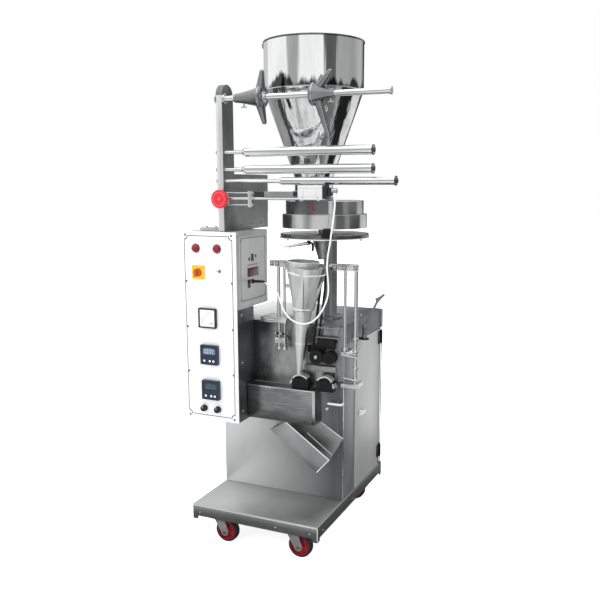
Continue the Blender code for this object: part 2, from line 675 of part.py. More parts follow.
def guide_frames():
    """Posts and clamps left and right of the former."""
    y = -0.130
    left = box("guide_frame_left", (-0.0787, -0.0020), (y - 0.012, y + 0.012), (0.990, 1.014),
               "zinc")
    post = rod("guide_left_post", (-0.0485, y, 0.700), (-0.0485, y, 0.995), 0.0065, sides=18)
    thin = rod("guide_left_rod", (-0.0260, y, 0.700), (-0.0260, y, 0.995), 0.0050, sides=16)
    foot = box("guide_left_foot", (-0.1180, -0.0150), (y - 0.012, -0.0600), (0.7890, 0.8080))
    join(left, post, thin, foot)

    y = -0.115
    side = CABINET_X[1] + GAP
    right = box("guide_frame_right", (0.1490, 0.2470), (y - 0.010, y + 0.010), (0.985, 1.008),
                "zinc")
    thin = rod("guide_right_rod", (0.2000, y, 0.695), (0.2000, y, 0.990), 0.0055, sides=16)
    post = rod("guide_right_post", (0.2400, y, 0.575), (0.2400, y, 0.990), 0.0070, sides=18)
    upper = box("guide_right_upper", (side, 0.2140), (y - 0.012, -0.0600), (0.6860, 0.7010))
    lower = box("guide_right_lower", (side, 0.2500), (y - 0.012, -0.0600), (0.5700, 0.5860))
    join(right, thin, post, upper, lower)


def draw_unit():
    """Frame on the cabinet's front, and the two draw rollers that pinch the film."""
    rear = CABINET_Y[0] - GAP
    frame = box("roller_frame", (0.1740, 0.1890), (-0.1180, rear), (0.5900, 0.7830), "zinc")
    pieces = [
        box("roller_frame_pillar", (0.1640, 0.1760), (-0.1180, rear), (0.5900, 0.7280)),
        box("roller_frame_shelf_top", (0.0950, 0.1850), (-0.1320, rear), (0.7790, 0.7830)),
        box("roller_frame_shelf_low", (0.0950, 0.1850), (-0.1320, rear), (0.7450, 0.7490)),
        box("roller_frame_beam", (0.0480, 0.1700), (-0.1250, rear), (0.6220, 0.6420)),
        box("roller_frame_back", (0.0550, 0.1660), (-0.1060, rear), (0.6400, 0.7160)),
    ]
    join(frame, *pieces)
    holes = [rod(f"roller_frame_bore_{i}", (x, -0.14, DRAW_Z), (x, -0.09, DRAW_Z), 0.0072, sides=20)
             for i, (x, _) in enumerate(DRAW_ROLLERS)]
    cut(frame, *holes)
    front = -0.1500
    back = -0.1195
    inside = -0.0500
    for side, (x, radius) in zip(("left", "right"), DRAW_ROLLERS):
        groove = radius - 0.0025
        profile = [(0, inside), (0.0060, inside), (0.0060, back), (radius, back),
                   (radius, -0.1280), (groove, -0.1290), (groove, -0.1340), (radius, -0.1350),
                   (radius, front), (0.0080, front), (0.0070, front - 0.005), (0, front - 0.005)]
        turned("draw_roller_" + side, profile, (x, 0, DRAW_Z), "black", "Y", 20, False)


def sealing_jaws():
    """Two heated jaws that close across the film on the apron's top."""
    top = APRON_Z[1] + GAP
    for side, x in (("left", (0.0080, 0.0745)), ("right", (0.1043, 0.1697))):
        jaw = box("sealing_jaw_" + side, x, (-0.1500, -0.1195), (top, 0.5950), "black")
        soften(jaw, 0.003)


# ---------------------------------------------------------------- apron and chute
def apron():
    """Sheet apron below the jaws, open below and behind, with a slot for the sachets."""
    skin = box("apron", APRON_X, APRON_Y, APRON_Z, "brushed")
    t = 0.0020
    room = box("apron_inside", (APRON_X[0] + t, APRON_X[1] - t), (APRON_Y[0] + t, APRON_Y[1] + 0.01),
               (APRON_Z[0] - 0.01, APRON_Z[1] - t))
    slot = box("apron_slot", (0.0760, 0.1000), (-0.1480, -0.1080),
               (APRON_Z[1] - 0.01, APRON_Z[1] + 0.01))
    cut(skin, room, slot)


def chute():
    """Flared sheet chute that carries the sachets down to the right."""
    rear = CABINET_Y[0] - GAP - 0.0015
    top = APRON_Z[0] - GAP - 0.0010
    front_high = (-0.0110, -0.1565, top)
    front_low = (-0.0750, -0.1565, 0.3920)
    lip_front_low = (0.1412, -0.2270, 0.2841)
    lip_front_high = (0.1876, -0.2270, 0.3363)
    rear_low = (-0.0750, rear, 0.3920)
    rear_high = (-0.0110, rear, top)
    rear_shoulder = (0.1000, rear, top)
    lip_rear_low = (0.1412, rear, 0.2841)
    lip_rear_high = (0.1900, rear, 0.3735)
    corners = [front_high, front_low, lip_front_low, lip_front_high, rear_low, rear_high,
               rear_shoulder, lip_rear_low, lip_rear_high]
    bm = bmesh.new()
    v = [bm.verts.new(corner) for corner in corners]
    bm.faces.new((v[0], v[1], v[2], v[3]))
    bm.faces.new((v[1], v[4], v[7], v[2]))
    bm.faces.new((v[4], v[5], v[6], v[8], v[7]))
    bmesh.ops.triangulate(bm, faces=bm.faces)
    bmesh.ops.recalc_face_normals(bm, faces=bm.faces)
    data = bpy.data.meshes.new("discharge_chute")
    bm.to_mesh(data)
    bm.free()
    sheet = add("discharge_chute", data, "brushed")
    thick = sheet.modifiers.new("sheet", "SOLIDIFY")
    thick.thickness = 0.0015
    thick.offset = 0.0
    thick.use_even_offset = True


# ---------------------------------------------------------------- drive inside the cabinet
def belt_outline(grow):
    """Outline of the belt round both pulleys, grown outwards."""
    small = MOTOR_PULLEY_R + GAP + grow
    large = SHAFT_PULLEY_R + GAP + grow
    dx = SHAFT_AXIS[0] - MOTOR_AXIS[0]
    dz = SHAFT_AXIS[1] - MOTOR_AXIS[1]
    run = math.degrees(math.atan2(dz, dx))
    lean = math.degrees(math.acos((small - large) / math.hypot(dx, dz)))
    points = arc(MOTOR_AXIS, small, run + lean, run + 360 - lean, 8)
    points += arc(SHAFT_AXIS, large, run - lean, run + lean, 14)
    return points


def drive():
    """Motor, belt, gearbox and main shaft with its cams."""
    x, z = MOTOR_AXIS
    motor = rod("drive_motor", (x, 0.060, z), (x, 0.255, z), 0.0600, "grey_paint", sides=24)
    feet = box("drive_motor_feet", (x - 0.055, x + 0.055), (0.085, 0.225),
               (BASE_TOP + GAP, z - 0.030))
    join(motor, feet)
    profile = [(0, 0.0597), (0.0100, 0.0597), (0.0100, BELT_Y[1]), (MOTOR_PULLEY_R, BELT_Y[1]),
               (MOTOR_PULLEY_R, BELT_Y[0]), (0.0120, BELT_Y[0]), (0.0120, 0.0120), (0, 0.0120)]
    turned("motor_pulley", profile, (x, 0, z), "aluminium", "Y", 20, False)

    belt = prism("drive_belt", belt_outline(0.0060), BELT_Y, "Y", "rubber")
    cut(belt, prism("drive_belt_inside", belt_outline(0.0010),
                    (BELT_Y[0] - 0.01, BELT_Y[1] + 0.01), "Y"))

    x, z = SHAFT_AXIS
    gearbox = box("gearbox", (x - 0.080, x + 0.080), (0.0550, 0.2050), (z - 0.075, z + 0.075),
                  "grey_paint", bevel=0.006)
    stand = box("gearbox_stand", (x - 0.060, x + 0.060), (0.0700, 0.1900),
                (BASE_TOP + GAP, z - 0.070))
    join(gearbox, stand)
    cam_z = (-0.0600, -0.0400)
    profile = [(0, 0.0547), (0.0140, 0.0547), (0.0140, BELT_Y[1]), (SHAFT_PULLEY_R, BELT_Y[1]),
               (SHAFT_PULLEY_R, BELT_Y[0]), (0.0140, BELT_Y[0]), (0.0140, cam_z[1]),
               (0.0380, cam_z[1]), (0.0380, cam_z[0]), (0.0140, cam_z[0]), (0.0140, -0.0850),
               (0, -0.0850)]
    turned("main_shaft", profile, (x, 0, z), "aluminium", "Y", 20, False)


# ---------------------------------------------------------------- sensor cord
def spline_point(points, i, t):
    """A point on the smooth curve through a list of points."""
    p0, p1, p2, p3 = (Vector(points[min(max(k, 0), len(points) - 1)]) for k in range(i - 1, i + 3))
    return 0.5 * (2 * p1 + (p2 - p0) * t + (2 * p0 - 5 * p1 + 4 * p2 - p3) * t * t
                  + (3 * p1 - p0 - 3 * p2 + p3) * t ** 3)


def sensor_cord():
    """Cord from the counter's gland to the sensor's plug, hanging in front of the former."""
    steps = 2
    route = [spline_point(CORD_ROUTE, i, j / steps)
             for i in range(len(CORD_ROUTE) - 1) for j in range(steps)]
    route.append(Vector(CORD_ROUTE[-1]))
    curve = bpy.data.curves.new("sensor_cord", "CURVE")
    curve.dimensions = "3D"
    curve.bevel_depth = CORD_R
    curve.bevel_resolution = 2
    curve.use_fill_caps = True
    spline = curve.splines.new("POLY")
    spline.points.add(len(route) - 1)
    for slot, place in zip(spline.points, route):
        slot.co = (*place, 1.0)
    add("sensor_cord", curve, "cord")


base_tray()
casters()
cabinet()
side_door()
clutch()
control_box()
panel_instruments()
counter()
column()
film_rollers()
film_reel()
sensor_slide()
hopper()
hopper_arm()
filler()
former()
guide_frames()
draw_unit()
sealing_jaws()
apron()
chute()
drive()
sensor_cord()
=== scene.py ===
"""Looks of the vertical form fill sealer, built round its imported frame. Metres, +Z up."""
import json
import math

import bmesh
import bpy
from mathutils import Matrix, Vector


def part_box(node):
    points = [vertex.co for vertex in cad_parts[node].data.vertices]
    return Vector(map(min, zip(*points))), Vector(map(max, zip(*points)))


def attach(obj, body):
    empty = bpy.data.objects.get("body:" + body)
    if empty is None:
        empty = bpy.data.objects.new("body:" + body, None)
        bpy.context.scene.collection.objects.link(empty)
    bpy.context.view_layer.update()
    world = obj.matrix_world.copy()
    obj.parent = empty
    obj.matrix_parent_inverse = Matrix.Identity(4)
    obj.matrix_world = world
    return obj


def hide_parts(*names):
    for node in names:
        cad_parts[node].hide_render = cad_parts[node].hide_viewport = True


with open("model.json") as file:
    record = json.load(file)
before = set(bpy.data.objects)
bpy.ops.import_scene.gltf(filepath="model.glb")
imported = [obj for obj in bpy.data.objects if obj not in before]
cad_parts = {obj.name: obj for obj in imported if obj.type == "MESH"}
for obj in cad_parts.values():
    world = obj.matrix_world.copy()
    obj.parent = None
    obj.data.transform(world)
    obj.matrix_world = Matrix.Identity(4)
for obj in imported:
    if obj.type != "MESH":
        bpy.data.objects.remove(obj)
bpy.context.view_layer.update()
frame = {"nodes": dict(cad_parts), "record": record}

NODE_BODY = {node: body for body, nodes in frame["record"]["behaviour"]["bodies"].items() for node in
    nodes}
FRONT = Vector((0, -1, 0))
RIGHT = Vector((1, 0, 0))
UP = Vector((0, 0, 1))
DOWN = -UP
SIDES = ("left", "right")


# ---------------------------------------------------------------- camera and sensor cord
def camera():
    """Camera to the front right of the machine, a little above its middle."""
    data = bpy.data.cameras.new("camera")
    data.sensor_width = 36.0
    data.lens = 44.43
    data.shift_x = -0.02167
    data.shift_y = 0.03617
    made = bpy.data.objects.new("camera", data)
    made.location = (1.117, -2.482, 1.275)
    made.rotation_euler = (math.radians(90 - 10.46), 0, math.radians(23.695))
    bpy.context.scene.collection.objects.link(made)
    bpy.context.scene.camera = made


CORD_D = 0.0056
# from the gland on the counter plate to the sensor's plug
CORD_ROUTE = ((-0.1492, -0.1075, 0.929), (-0.135, -0.11, 0.93), (-0.108, -0.13, 0.933),
    (-0.085, -0.165, 0.934), (-0.06, -0.195, 0.933), (-0.03, -0.212, 0.927), (-0.01, -0.218, 0.908),
    (0.002, -0.22, 0.879), (0.013, -0.218, 0.852), (0.028, -0.215, 0.829), (0.05, -0.211, 0.813),
    (0.079, -0.207, 0.806), (0.107, -0.205, 0.812), (0.13, -0.204, 0.829), (0.149, -0.203, 0.854),
    (0.164, -0.202, 0.885), (0.172, -0.201, 0.92), (0.171, -0.201, 0.96), (0.167, -0.2, 1.0),
    (0.169, -0.199, 1.04), (0.176, -0.199, 1.08), (0.183, -0.2, 1.125), (0.189, -0.2, 1.165),
    (0.193, -0.2, 1.2), (0.194, -0.2, 1.224))


def spline_point(points, i, t):
    """A point on the smooth curve through a list of points."""
    p0, p1, p2, p3 = (Vector(points[min(max(k, 0), len(points) - 1)]) for k in range(i - 1, i + 3))
    return 0.5 * (2 * p1 + (p2 - p0) * t + (2 * p0 - 5 * p1 + 4 * p2 - p3) * t * t +
        (3 * p1 - p0 - 3 * p2 + p3) * t ** 3)


def smooth_path(points, steps):
    """A smooth curve through a list of points, with steps to each stretch."""
    path = [spline_point(points, i, j / steps) for i in range(len(points) - 1) for j in range(steps)]
    return path + [Vector(points[-1])]


def sensor_cord():
    """The sensor's lead, a round curve with filled caps along its route."""
    path = smooth_path(CORD_ROUTE, 6)
    data = bpy.data.curves.new("sensor_lead", "CURVE")
    data.dimensions = "3D"
    data.bevel_depth = CORD_D / 2
    data.bevel_resolution = 5
    data.use_fill_caps = True
    spline = data.splines.new("POLY")
    spline.points.add(len(path) - 1)
    for point, place in zip(spline.points, path):
        point.co = (*place, 1.0)
    cord = place_piece(bpy.data.objects.new("sensor_lead", data), "cord_white", replaces=("sensor_cord",))


# ---------------------------------------------------------------- materials
def feed(tree, made, values):
    """Set a node's inputs: each value is a plain one, or another node's output to link."""
    for name, value in values.items():
        if isinstance(value, bpy.types.NodeSocket):
            tree.links.new(value, made.inputs[name])
        else:
            made.inputs[name].default_value = value


def node(tree, kind, values=None, **settings):
    """Add a shader node with its inputs and settings."""
    made = tree.nodes.new("ShaderNode" + kind)
    for name, value in settings.items():
        setattr(made, name, value)
    feed(tree, made, values or {})
    return made


def surface(name, colour, roughness, metallic=0.0, grain=None, contrast=0.0, blotch=0.0, blotch_size=6.0,
    blotch_shape=(1, 1, 0.7), bump=0.0, fade=None, ragged=0.0, waves=None, coat=0.0, specular=0.5,
    wear=0.0):
    """Principled material with grain, large soft blotches, an optional fade and edge wear; the fades
    carry painted shade and painted reflection.

    grain is the noise's scale on each axis; fade is (axis, start, end, colour), and ragged says
    how far its border wanders. waves is (scale on each axis, depth) of a sheet's slow unevenness.
    """
    made = bpy.data.materials.new(name)
    made.use_nodes = True
    made.diffuse_color = (*colour, 1)
    tree = made.node_tree
    where = node(tree, "TexCoord").outputs["Object"]

    def noise_at(scales, scale, detail):
        mapped = node(tree, "Mapping", {"Vector": where, "Scale": scales}).outputs["Vector"]
        return node(tree, "TexNoise", {"Vector": mapped, "Scale": scale, "Detail": detail}).outputs["Fac"]

    def ranged(value, low, high, start=0.3, end=0.7):
        return node(tree, "MapRange", {"Value": value, "From Min": start, "From Max": end, "To Min": low,
            "To Max": high}).outputs["Result"]

    def mixed(factor, *ends, blend="MIX"):
        a, b = (end if isinstance(end, bpy.types.NodeSocket) else (*end, 1) for end in ends)
        return node(tree, "Mix", {"Factor": factor, "A": a, "B": b}, data_type="RGBA",
            blend_type=blend).outputs["Result"]

    fine = noise_at(grain or (1, 1, 1), 1.0 if grain else 260.0, 3.0)
    large = noise_at(blotch_shape, blotch_size, 4.0)
    base = mixed(ranged(fine, 0.0, 1.0), [c * (1 - contrast) for c in colour],
        [min(1.0, c * (1 + contrast)) for c in colour])
    if fade:
        axis, start, end, far = fade
        place = node(tree, "SeparateXYZ", {0: where}).outputs[axis]
        if ragged:
            wander = ranged(large, -ragged, ragged)
            place = node(tree, "Math", {0: place, 1: wander}, operation="ADD").outputs[0]
        base = mixed(ranged(place, 0.0, 1.0, start, end), base, far)
    if blotch:
        shade = mixed(ranged(large, 0.0, 1.0), (1 - blotch,) * 3, (1, 1, 1))
        base = mixed(1.0, base, shade, blend="MULTIPLY")
    if wear:
        edge = node(tree, "NewGeometry").outputs["Pointiness"]
        worn = [min(1.0, c * 1.5 + 0.1) for c in colour]
        base = mixed(ranged(edge, 0.0, wear, *WORN_EDGE), base, worn)
    spread = min(0.08, roughness * 0.4)
    values = {"Base Color": base, "Metallic": metallic, "Specular IOR Level": specular,
        "Coat Weight": coat, "Coat Roughness": 0.08, "Roughness": ranged(fine, roughness - spread,
        roughness + spread)}
    heights = [(fine, bump, GRAIN_DEPTH)] if bump else []
    if waves:
        heights.append((noise_at(waves[0], 1.0, 2.0), 1.0, waves[1]))
    for height, strength, depth in heights:
        under = {"Normal": values["Normal"]} if "Normal" in values else {}
        values["Normal"] = node(tree, "Bump", {"Strength": strength, "Distance": depth, "Height": height,
            **under}).outputs["Normal"]
    feed(tree, tree.nodes["Principled BSDF"], values)
    return made


WORN_EDGE = (0.51, 0.58)         # pointiness where an edge starts to look worn, and where it is bare
GRAIN_DEPTH = 0.0004
VERTICAL = (900, 900, 12)        # grain that runs up and down
ALONG_X = (12, 900, 900)
ALONG_Y = (900, 12, 900)

LOOKS = {}


def look(name, slot, *values, **more):
    """Make a material, and keep it under a look's name with its slot."""
    LOOKS[name] = (surface(name, *values, **more), slot)


def steel(level):
    """A grey with a little blue in it."""
    return (level, level + 0.005, level + 0.01)


def make_looks():
    """Each look's name, slot, colour, roughness, how metallic it is, and its texture."""
    # the tray's fade keeps its top at its own grey and makes everything below a little darker: painted
    # shade on the sides
    look("tray_sheet", "brushed_steel", (0.5, 0.515, 0.51), 0.36, 0.92, grain=ALONG_X, contrast=0.07,
        blotch=0.14, bump=0.04, fade=("Z", 0.1325, 0.1315, (0.48, 0.5, 0.49)))
    look("sheet", "brushed_steel", steel(0.6), 0.32, 1.0, grain=VERTICAL, contrast=0.1, blotch=0.12,
        bump=0.06)
    # the cabinet's fade, from pale at the left to near black at the right, is a painted reflection and
    # painted shade
    look("cabinet_sheet", "brushed_steel", steel(0.93), 0.4, 0.62, grain=VERTICAL, contrast=0.05,
        blotch=0.12, blotch_size=5.0, bump=0.05, fade=("X", -0.26, 0.15, (0.13, 0.135, 0.14)))
    # the upper front's heavy dark blotches and its ragged dark part towards the left are a painted
    # reflection
    look("cabinet_upper", "brushed_steel", steel(0.58), 0.3, 0.92, grain=VERTICAL, contrast=0.05,
        blotch=0.72, blotch_size=6.5, blotch_shape=(1.5, 1, 0.9), bump=0.05,
        fade=("X", -0.06, -0.125, (0.15, 0.155, 0.16)), ragged=0.035, waves=((18, 18, 9), 0.001))
    look("side_strip", "brushed_steel", steel(0.25), 0.42, 0.45, grain=VERTICAL, contrast=0.15,
        blotch=0.25, bump=0.1)
    look("door_sheet", "brushed_steel", steel(0.55), 0.45, 0.55, grain=VERTICAL, contrast=0.05,
        blotch=0.12, bump=0.05)
    look("apron_sheet", "brushed_steel", steel(0.36), 0.34, 1.0, grain=ALONG_X, contrast=0.4, blotch=0.45,
        blotch_size=22.0, blotch_shape=(0.6, 1, 1.4), bump=0.15)
    look("chute_sheet", "brushed_steel", steel(0.4), 0.4, 1.0, grain=(500, 80, 500), contrast=0.14,
        blotch=0.25, blotch_size=12.0, bump=0.1)
    look("housing_sheet", "brushed_steel", steel(0.74), 0.4, 0.7, grain=VERTICAL, contrast=0.06,
        blotch=0.16, blotch_size=12.0, bump=0.06)
    look("housing_dark", "brushed_steel", steel(0.24), 0.36, 0.9, grain=VERTICAL, contrast=0.1,
        blotch=0.6, blotch_size=12.0, bump=0.06)
    look("lining", "brushed_steel", steel(0.62), 0.38, 0.6, grain=(200, 200, 10), contrast=0.06,
        blotch=0.15, bump=0.04)
    look("table_top", "table_steel", (0.86, 0.86, 0.86), 0.22, 0.75, grain=(60, 60, 900), contrast=0.04,
        blotch=0.1)
    # the mirror's fade turns the drum's lowest part, just above the cone, near black with a ragged edge:
    # a painted reflection
    look("mirror", "mirror_steel", steel(0.93), 0.05, 1.0, grain=(240, 240, 10), contrast=0.03,
        blotch=0.12, blotch_size=9.0, blotch_shape=(3.0, 3.0, 0.5),
        fade=("Z", 1.629, 1.613, (0.07, 0.07, 0.072)), ragged=0.03, waves=((26, 26, 2.2), 0.002))
    # the cone's darker grey and heavy streaky blotches are partly random tone and partly a painted
    # reflection
    look("mirror_cone", "mirror_steel", steel(0.84), 0.06, 1.0, grain=(260, 260, 8), contrast=0.08,
        blotch=0.45, blotch_size=11.0, blotch_shape=(2.6, 2.6, 0.45), waves=((34, 34, 3.0), 0.0022))
    look("polished", "polished_steel", steel(0.9), 0.12, 1.0, grain=(1200, 40, 40), contrast=0.04,
        blotch=0.1, blotch_size=9.0)
    # dark polished steel; on the hopper's rim bead the darkness is a painted reflection
    look("rim_dark", "polished_steel", (0.17, 0.172, 0.176), 0.16, 1.0, grain=(300, 300, 300),
        contrast=0.1, blotch=0.4, blotch_size=30.0)
    look("satin_bright", "zinc_steel", (0.84, 0.84, 0.84), 0.45, 0.35, grain=(200, 200, 200),
        contrast=0.04, blotch=0.08, bump=0.04)
    look("bright", "zinc_steel", steel(0.62), 0.24, 1.0, grain=(30, 30, 30), contrast=0.04, blotch=0.1,
        blotch_size=5.0, wear=0.2)
    look("dull_steel", "zinc_steel", steel(0.27), 0.4, 0.9, grain=(260, 260, 260), contrast=0.18,
        blotch=0.3, blotch_size=14.0, bump=0.1, wear=0.4)
    look("wing_steel", "zinc_steel", steel(0.27), 0.22, 0.95, grain=(120, 120, 120), contrast=0.06,
        blotch=0.3, blotch_size=14.0)
    look("fork_steel", "zinc_steel", (0.52, 0.53, 0.525), 0.36, 0.8, grain=(160, 160, 160), contrast=0.12,
        blotch=0.45, blotch_size=34.0, bump=0.08, wear=0.4)
    look("column_side", "column_steel", (0.295, 0.315, 0.308), 0.4, 0.9, grain=ALONG_Y, contrast=0.1,
        blotch=0.5, blotch_size=9.0, bump=0.05)
    # the pale look on the column's front face is a painted highlight
    look("column_edge_highlight", "column_steel", (0.84, 0.845, 0.845), 0.34, 0.9, grain=VERTICAL, contrast=0.05,
        blotch=0.14, bump=0.04)
    look("ring_steel", "brushed_steel", steel(0.6), 0.16, 1.0, grain=(30, 30, 900), contrast=0.05,
        blotch=0.22, blotch_size=10.0, blotch_shape=(1, 1, 0.3), waves=((18, 18, 5), 0.001))
    # near black: on the table's rim this is painted shade
    look("table_dark", "table_steel", (0.13, 0.13, 0.135), 0.26, 0.9, grain=(20, 20, 200), contrast=0.06,
        blotch=0.15, wear=0.2)
    look("former_sheet", "brushed_steel", steel(0.7), 0.36, 0.72, grain=(500, 500, 12), contrast=0.04,
        blotch=0.2, blotch_size=12.0, bump=0.03)
    look("collar_sheet", "brushed_steel", steel(0.74), 0.36, 0.66, grain=(500, 500, 12), contrast=0.05,
        blotch=0.28, blotch_size=14.0, blotch_shape=(2, 2, 0.4), bump=0.03)
    # the near-black look of the strips down the former's right side: painted shade
    look("collar_painted_shade", "brushed_steel", (0.1, 0.102, 0.105), 0.26, 0.95, grain=(500, 500, 12),
        contrast=0.3, blotch=0.7, blotch_size=30.0, blotch_shape=(3, 3, 0.4), bump=0.03)
    look("funnel_sheet", "brushed_steel", steel(0.46), 0.3, 0.85, grain=(400, 400, 10), contrast=0.16,
        blotch=0.6, blotch_size=22.0, blotch_shape=(2.5, 2.5, 0.5), bump=0.03)
    look("drive_paint", "drive_paint", (0.22, 0.25, 0.28), 0.45, contrast=0.06, blotch=0.15, bump=0.15)
    look("panel_white", "panel_white", steel(0.79), 0.42, contrast=0.012, blotch=0.03, bump=0.08)
    look("outline_grey", "panel_white", steel(0.07), 0.5, contrast=0.1)
    look("counter_grey", "counter_grey", (0.58, 0.59, 0.59), 0.4, 0.3, grain=VERTICAL, contrast=0.05,
        blotch=0.14, bump=0.04)
    look("key_dark", "counter_grey", (0.055, 0.012, 0.028), 0.4, contrast=0.1)
    look("display_red", "counter_grey", (0.075, 0.004, 0.016), 0.22, contrast=0.1)
    look("sensor_white", "sensor_white", (0.6, 0.605, 0.6), 0.42, contrast=0.02, blotch=0.05, bump=0.05)
    look("jaw_black", "jaw_black", (0.006, 0.006, 0.0065), 0.34, contrast=0.3, blotch=0.3, bump=0.1,
        specular=0.16, wear=0.05)
    look("case_black", "instrument_black", (0.016, 0.017, 0.021), 0.36, contrast=0.1, blotch=0.1,
        bump=0.05, specular=0.3)
    look("plate_dark", "brushed_steel", (0.17, 0.172, 0.175), 0.34, 0.9, grain=(200, 200, 200),
        contrast=0.1, blotch=0.3, blotch_size=16.0, bump=0.05)
    look("sensor_line", "sensor_white", (0.36, 0.365, 0.36), 0.5, contrast=0.05)
    look("dial_white", "instrument_black", (0.8, 0.81, 0.84), 0.5, contrast=0.01)
    look("dial_mark", "instrument_black", (0.18, 0.17, 0.3), 0.5, contrast=0.1)
    look("case_navy", "instrument_navy", (0.01, 0.018, 0.04), 0.34, contrast=0.1, blotch=0.1)
    look("display_blue", "instrument_navy", (0.16, 0.24, 0.42), 0.3, contrast=0.15, blotch=0.45,
        blotch_size=60.0)
    look("display_teal", "instrument_navy", (0.03, 0.07, 0.09), 0.3, contrast=0.15, blotch=0.35,
        blotch_size=60.0)
    look("key_white", "instrument_navy", (0.8, 0.81, 0.8), 0.45, contrast=0.02)
    look("knob_black", "knob_black", (0.012, 0.012, 0.013), 0.36, contrast=0.15, blotch=0.1, bump=0.08,
        specular=0.35)
    look("knob_red", "knob_red", (0.66, 0.012, 0.03), 0.3, contrast=0.08, blotch=0.1, coat=0.3)
    look("knob_pale", "knob_red", (0.78, 0.08, 0.105), 0.36, contrast=0.05)
    look("switch_orange", "switch_orange", (0.52, 0.085, 0.008), 0.34, contrast=0.06, coat=0.2)
    look("switch_yellow", "switch_yellow", (0.88, 0.54, 0.035), 0.42, contrast=0.03, blotch=0.05)
    look("lamp_red", "lamp_red", (0.25, 0.004, 0.022), 0.18, contrast=0.12, blotch=0.15, coat=0.3)
    look("lamp_rim", "lamp_red", (0.085, 0.002, 0.01), 0.3, contrast=0.2, blotch=0.2)
    look("wheel_red", "wheel_red", (0.31, 0.009, 0.018), 0.3, contrast=0.14, blotch=0.45,
        blotch_size=34.0, coat=0.2)
    look("tyre_dark", "wheel_red", (0.035, 0.02, 0.022), 0.5, contrast=0.15, blotch=0.2, bump=0.2)
    look("belt", "belt_rubber", (0.02, 0.02, 0.02), 0.75, contrast=0.2, bump=0.3)
    look("cord_white", "cord_white", (0.82, 0.82, 0.81), 0.42, contrast=0.03, blotch=0.05, bump=0.05)


# ---------------------------------------------------------------- mesh helpers
def place_piece(made, look_name, body="root", replaces=()):
    """Give a new object its look, its body and the CAD nodes it stands for."""
    material, slot = LOOKS[look_name]
    made.data.materials.clear()
    made.data.materials.append(material)
    bpy.context.scene.collection.objects.link(made)
    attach(made, body)
    if replaces:
        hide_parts(*replaces)
    return made


hand = bmesh.new()               # shells made so far for the next piece, in the frame's coordinates


def piece(name, look_name, node_name=None, body="root", sharp=32.0):
    """Turn the shells in hand into a piece, which stands for a CAD node or rides on a body."""
    bmesh.ops.recalc_face_normals(hand, faces=hand.faces)
    data = bpy.data.meshes.new(name)
    hand.to_mesh(data)
    hand.clear()
    data.shade_smooth()
    data.set_sharp_from_angle(angle=math.radians(sharp))
    place_piece(bpy.data.objects.new(name, data), look_name, NODE_BODY[node_name] if node_name else body,
        (node_name,) if node_name else ())


def bevel(bm, edges, width, segments=2):
    bmesh.ops.bevel(bm, geom=edges, offset=width, segments=segments, affect="EDGES", profile=0.5,
        clamp_overlap=True)


def span(centre, half):
    """The two ends of a length about its middle."""
    return (centre - half, centre + half)


def block(x, y, z, round_by=0.001, tilt=None):
    """A box between two ends on each axis, with rounded edges; tilt is a matrix about its middle."""
    low = Vector((x[0], y[0], z[0]))
    high = Vector((x[1], y[1], z[1]))
    made = bmesh.new()
    bmesh.ops.create_cube(made, size=1.0)
    bmesh.ops.scale(made, verts=made.verts, vec=high - low)
    if round_by:
        bevel(made, list(made.edges), round_by)
    if tilt is not None:
        bmesh.ops.transform(made, verts=made.verts, matrix=tilt)
    bmesh.ops.translate(made, verts=made.verts, vec=(low + high) / 2)
    absorb(made)


def absorb(other):
    """Add a bmesh's shells to those in hand."""
    data = bpy.data.meshes.new("shell")
    other.to_mesh(data)
    other.free()
    hand.from_mesh(data)
    bpy.data.meshes.remove(data)


def spoke(degrees, reach=1.0):
    """A step across the machine, seen from its front: 0 is to the right and 90 is up."""
    angle = math.radians(degrees)
    return Vector((math.cos(angle), 0, math.sin(angle))) * reach


def compass(degrees, reach=1.0):
    """A level step, seen from above: 0 is to the right and 90 is to the back."""
    angle = math.radians(degrees)
    return Vector((math.cos(angle), math.sin(angle), 0)) * reach


def turn(profile, origin, axis=UP, segments=64, sweep=360.0, start=0.0):
    """Turn a profile of (radius, height) points about an axis through origin."""
    made = bmesh.new()
    line = [made.verts.new((radius, 0.0, height)) for radius, height in profile]
    edges = [made.edges.new(pair) for pair in zip(line, line[1:])]
    bmesh.ops.rotate(made, verts=made.verts, matrix=Matrix.Rotation(math.radians(start), 3, "Z"))
    bmesh.ops.spin(made, geom=line + edges, cent=(0, 0, 0), axis=(0, 0, 1), steps=segments,
        angle=math.radians(sweep), use_duplicate=False)
    bmesh.ops.remove_doubles(made, verts=made.verts, dist=0.000002)
    bmesh.ops.holes_fill(made, edges=made.edges, sides=0)
    along = UP.rotation_difference(Vector(axis)).to_matrix().to_4x4()
    bmesh.ops.transform(made, verts=made.verts, matrix=Matrix.Translation(origin) @ along)
    absorb(made)


def mirrored(half):
    """A profile that is the same above and below height 0, from its upper half."""
    return half + [(radius, -height) for radius, height in reversed(half)]


def tube(profile, *where, **more):
    """Turn a closed profile, which makes a ring or a tube."""
    turn(profile + profile[:1], *where, **more)


def rod(start, end, radius, end_radius=None, chamfer=0.0006, segments=40):
    """A round bar between two points, with chamfered ends."""
    start = Vector(start)
    along = Vector(end) - start
    far = radius if end_radius is None else end_radius
    length = along.length
    profile = [(0, length), (far - chamfer, length), (far, length - chamfer), (radius, chamfer),
        (radius - chamfer, 0), (0, 0)]
    turn(profile, start, along.normalized(), segments)


def ring(origin, axis, inner, outer, depth, chamfer=0.0005, segments=64):
    """A flat ring with chamfered edges, from origin along the axis."""
    profile = [(inner, 0), (outer - chamfer, 0), (outer, chamfer), (outer, depth - chamfer),
        (outer - chamfer, depth), (inner, depth)]
    tube(profile, origin, axis, segments)


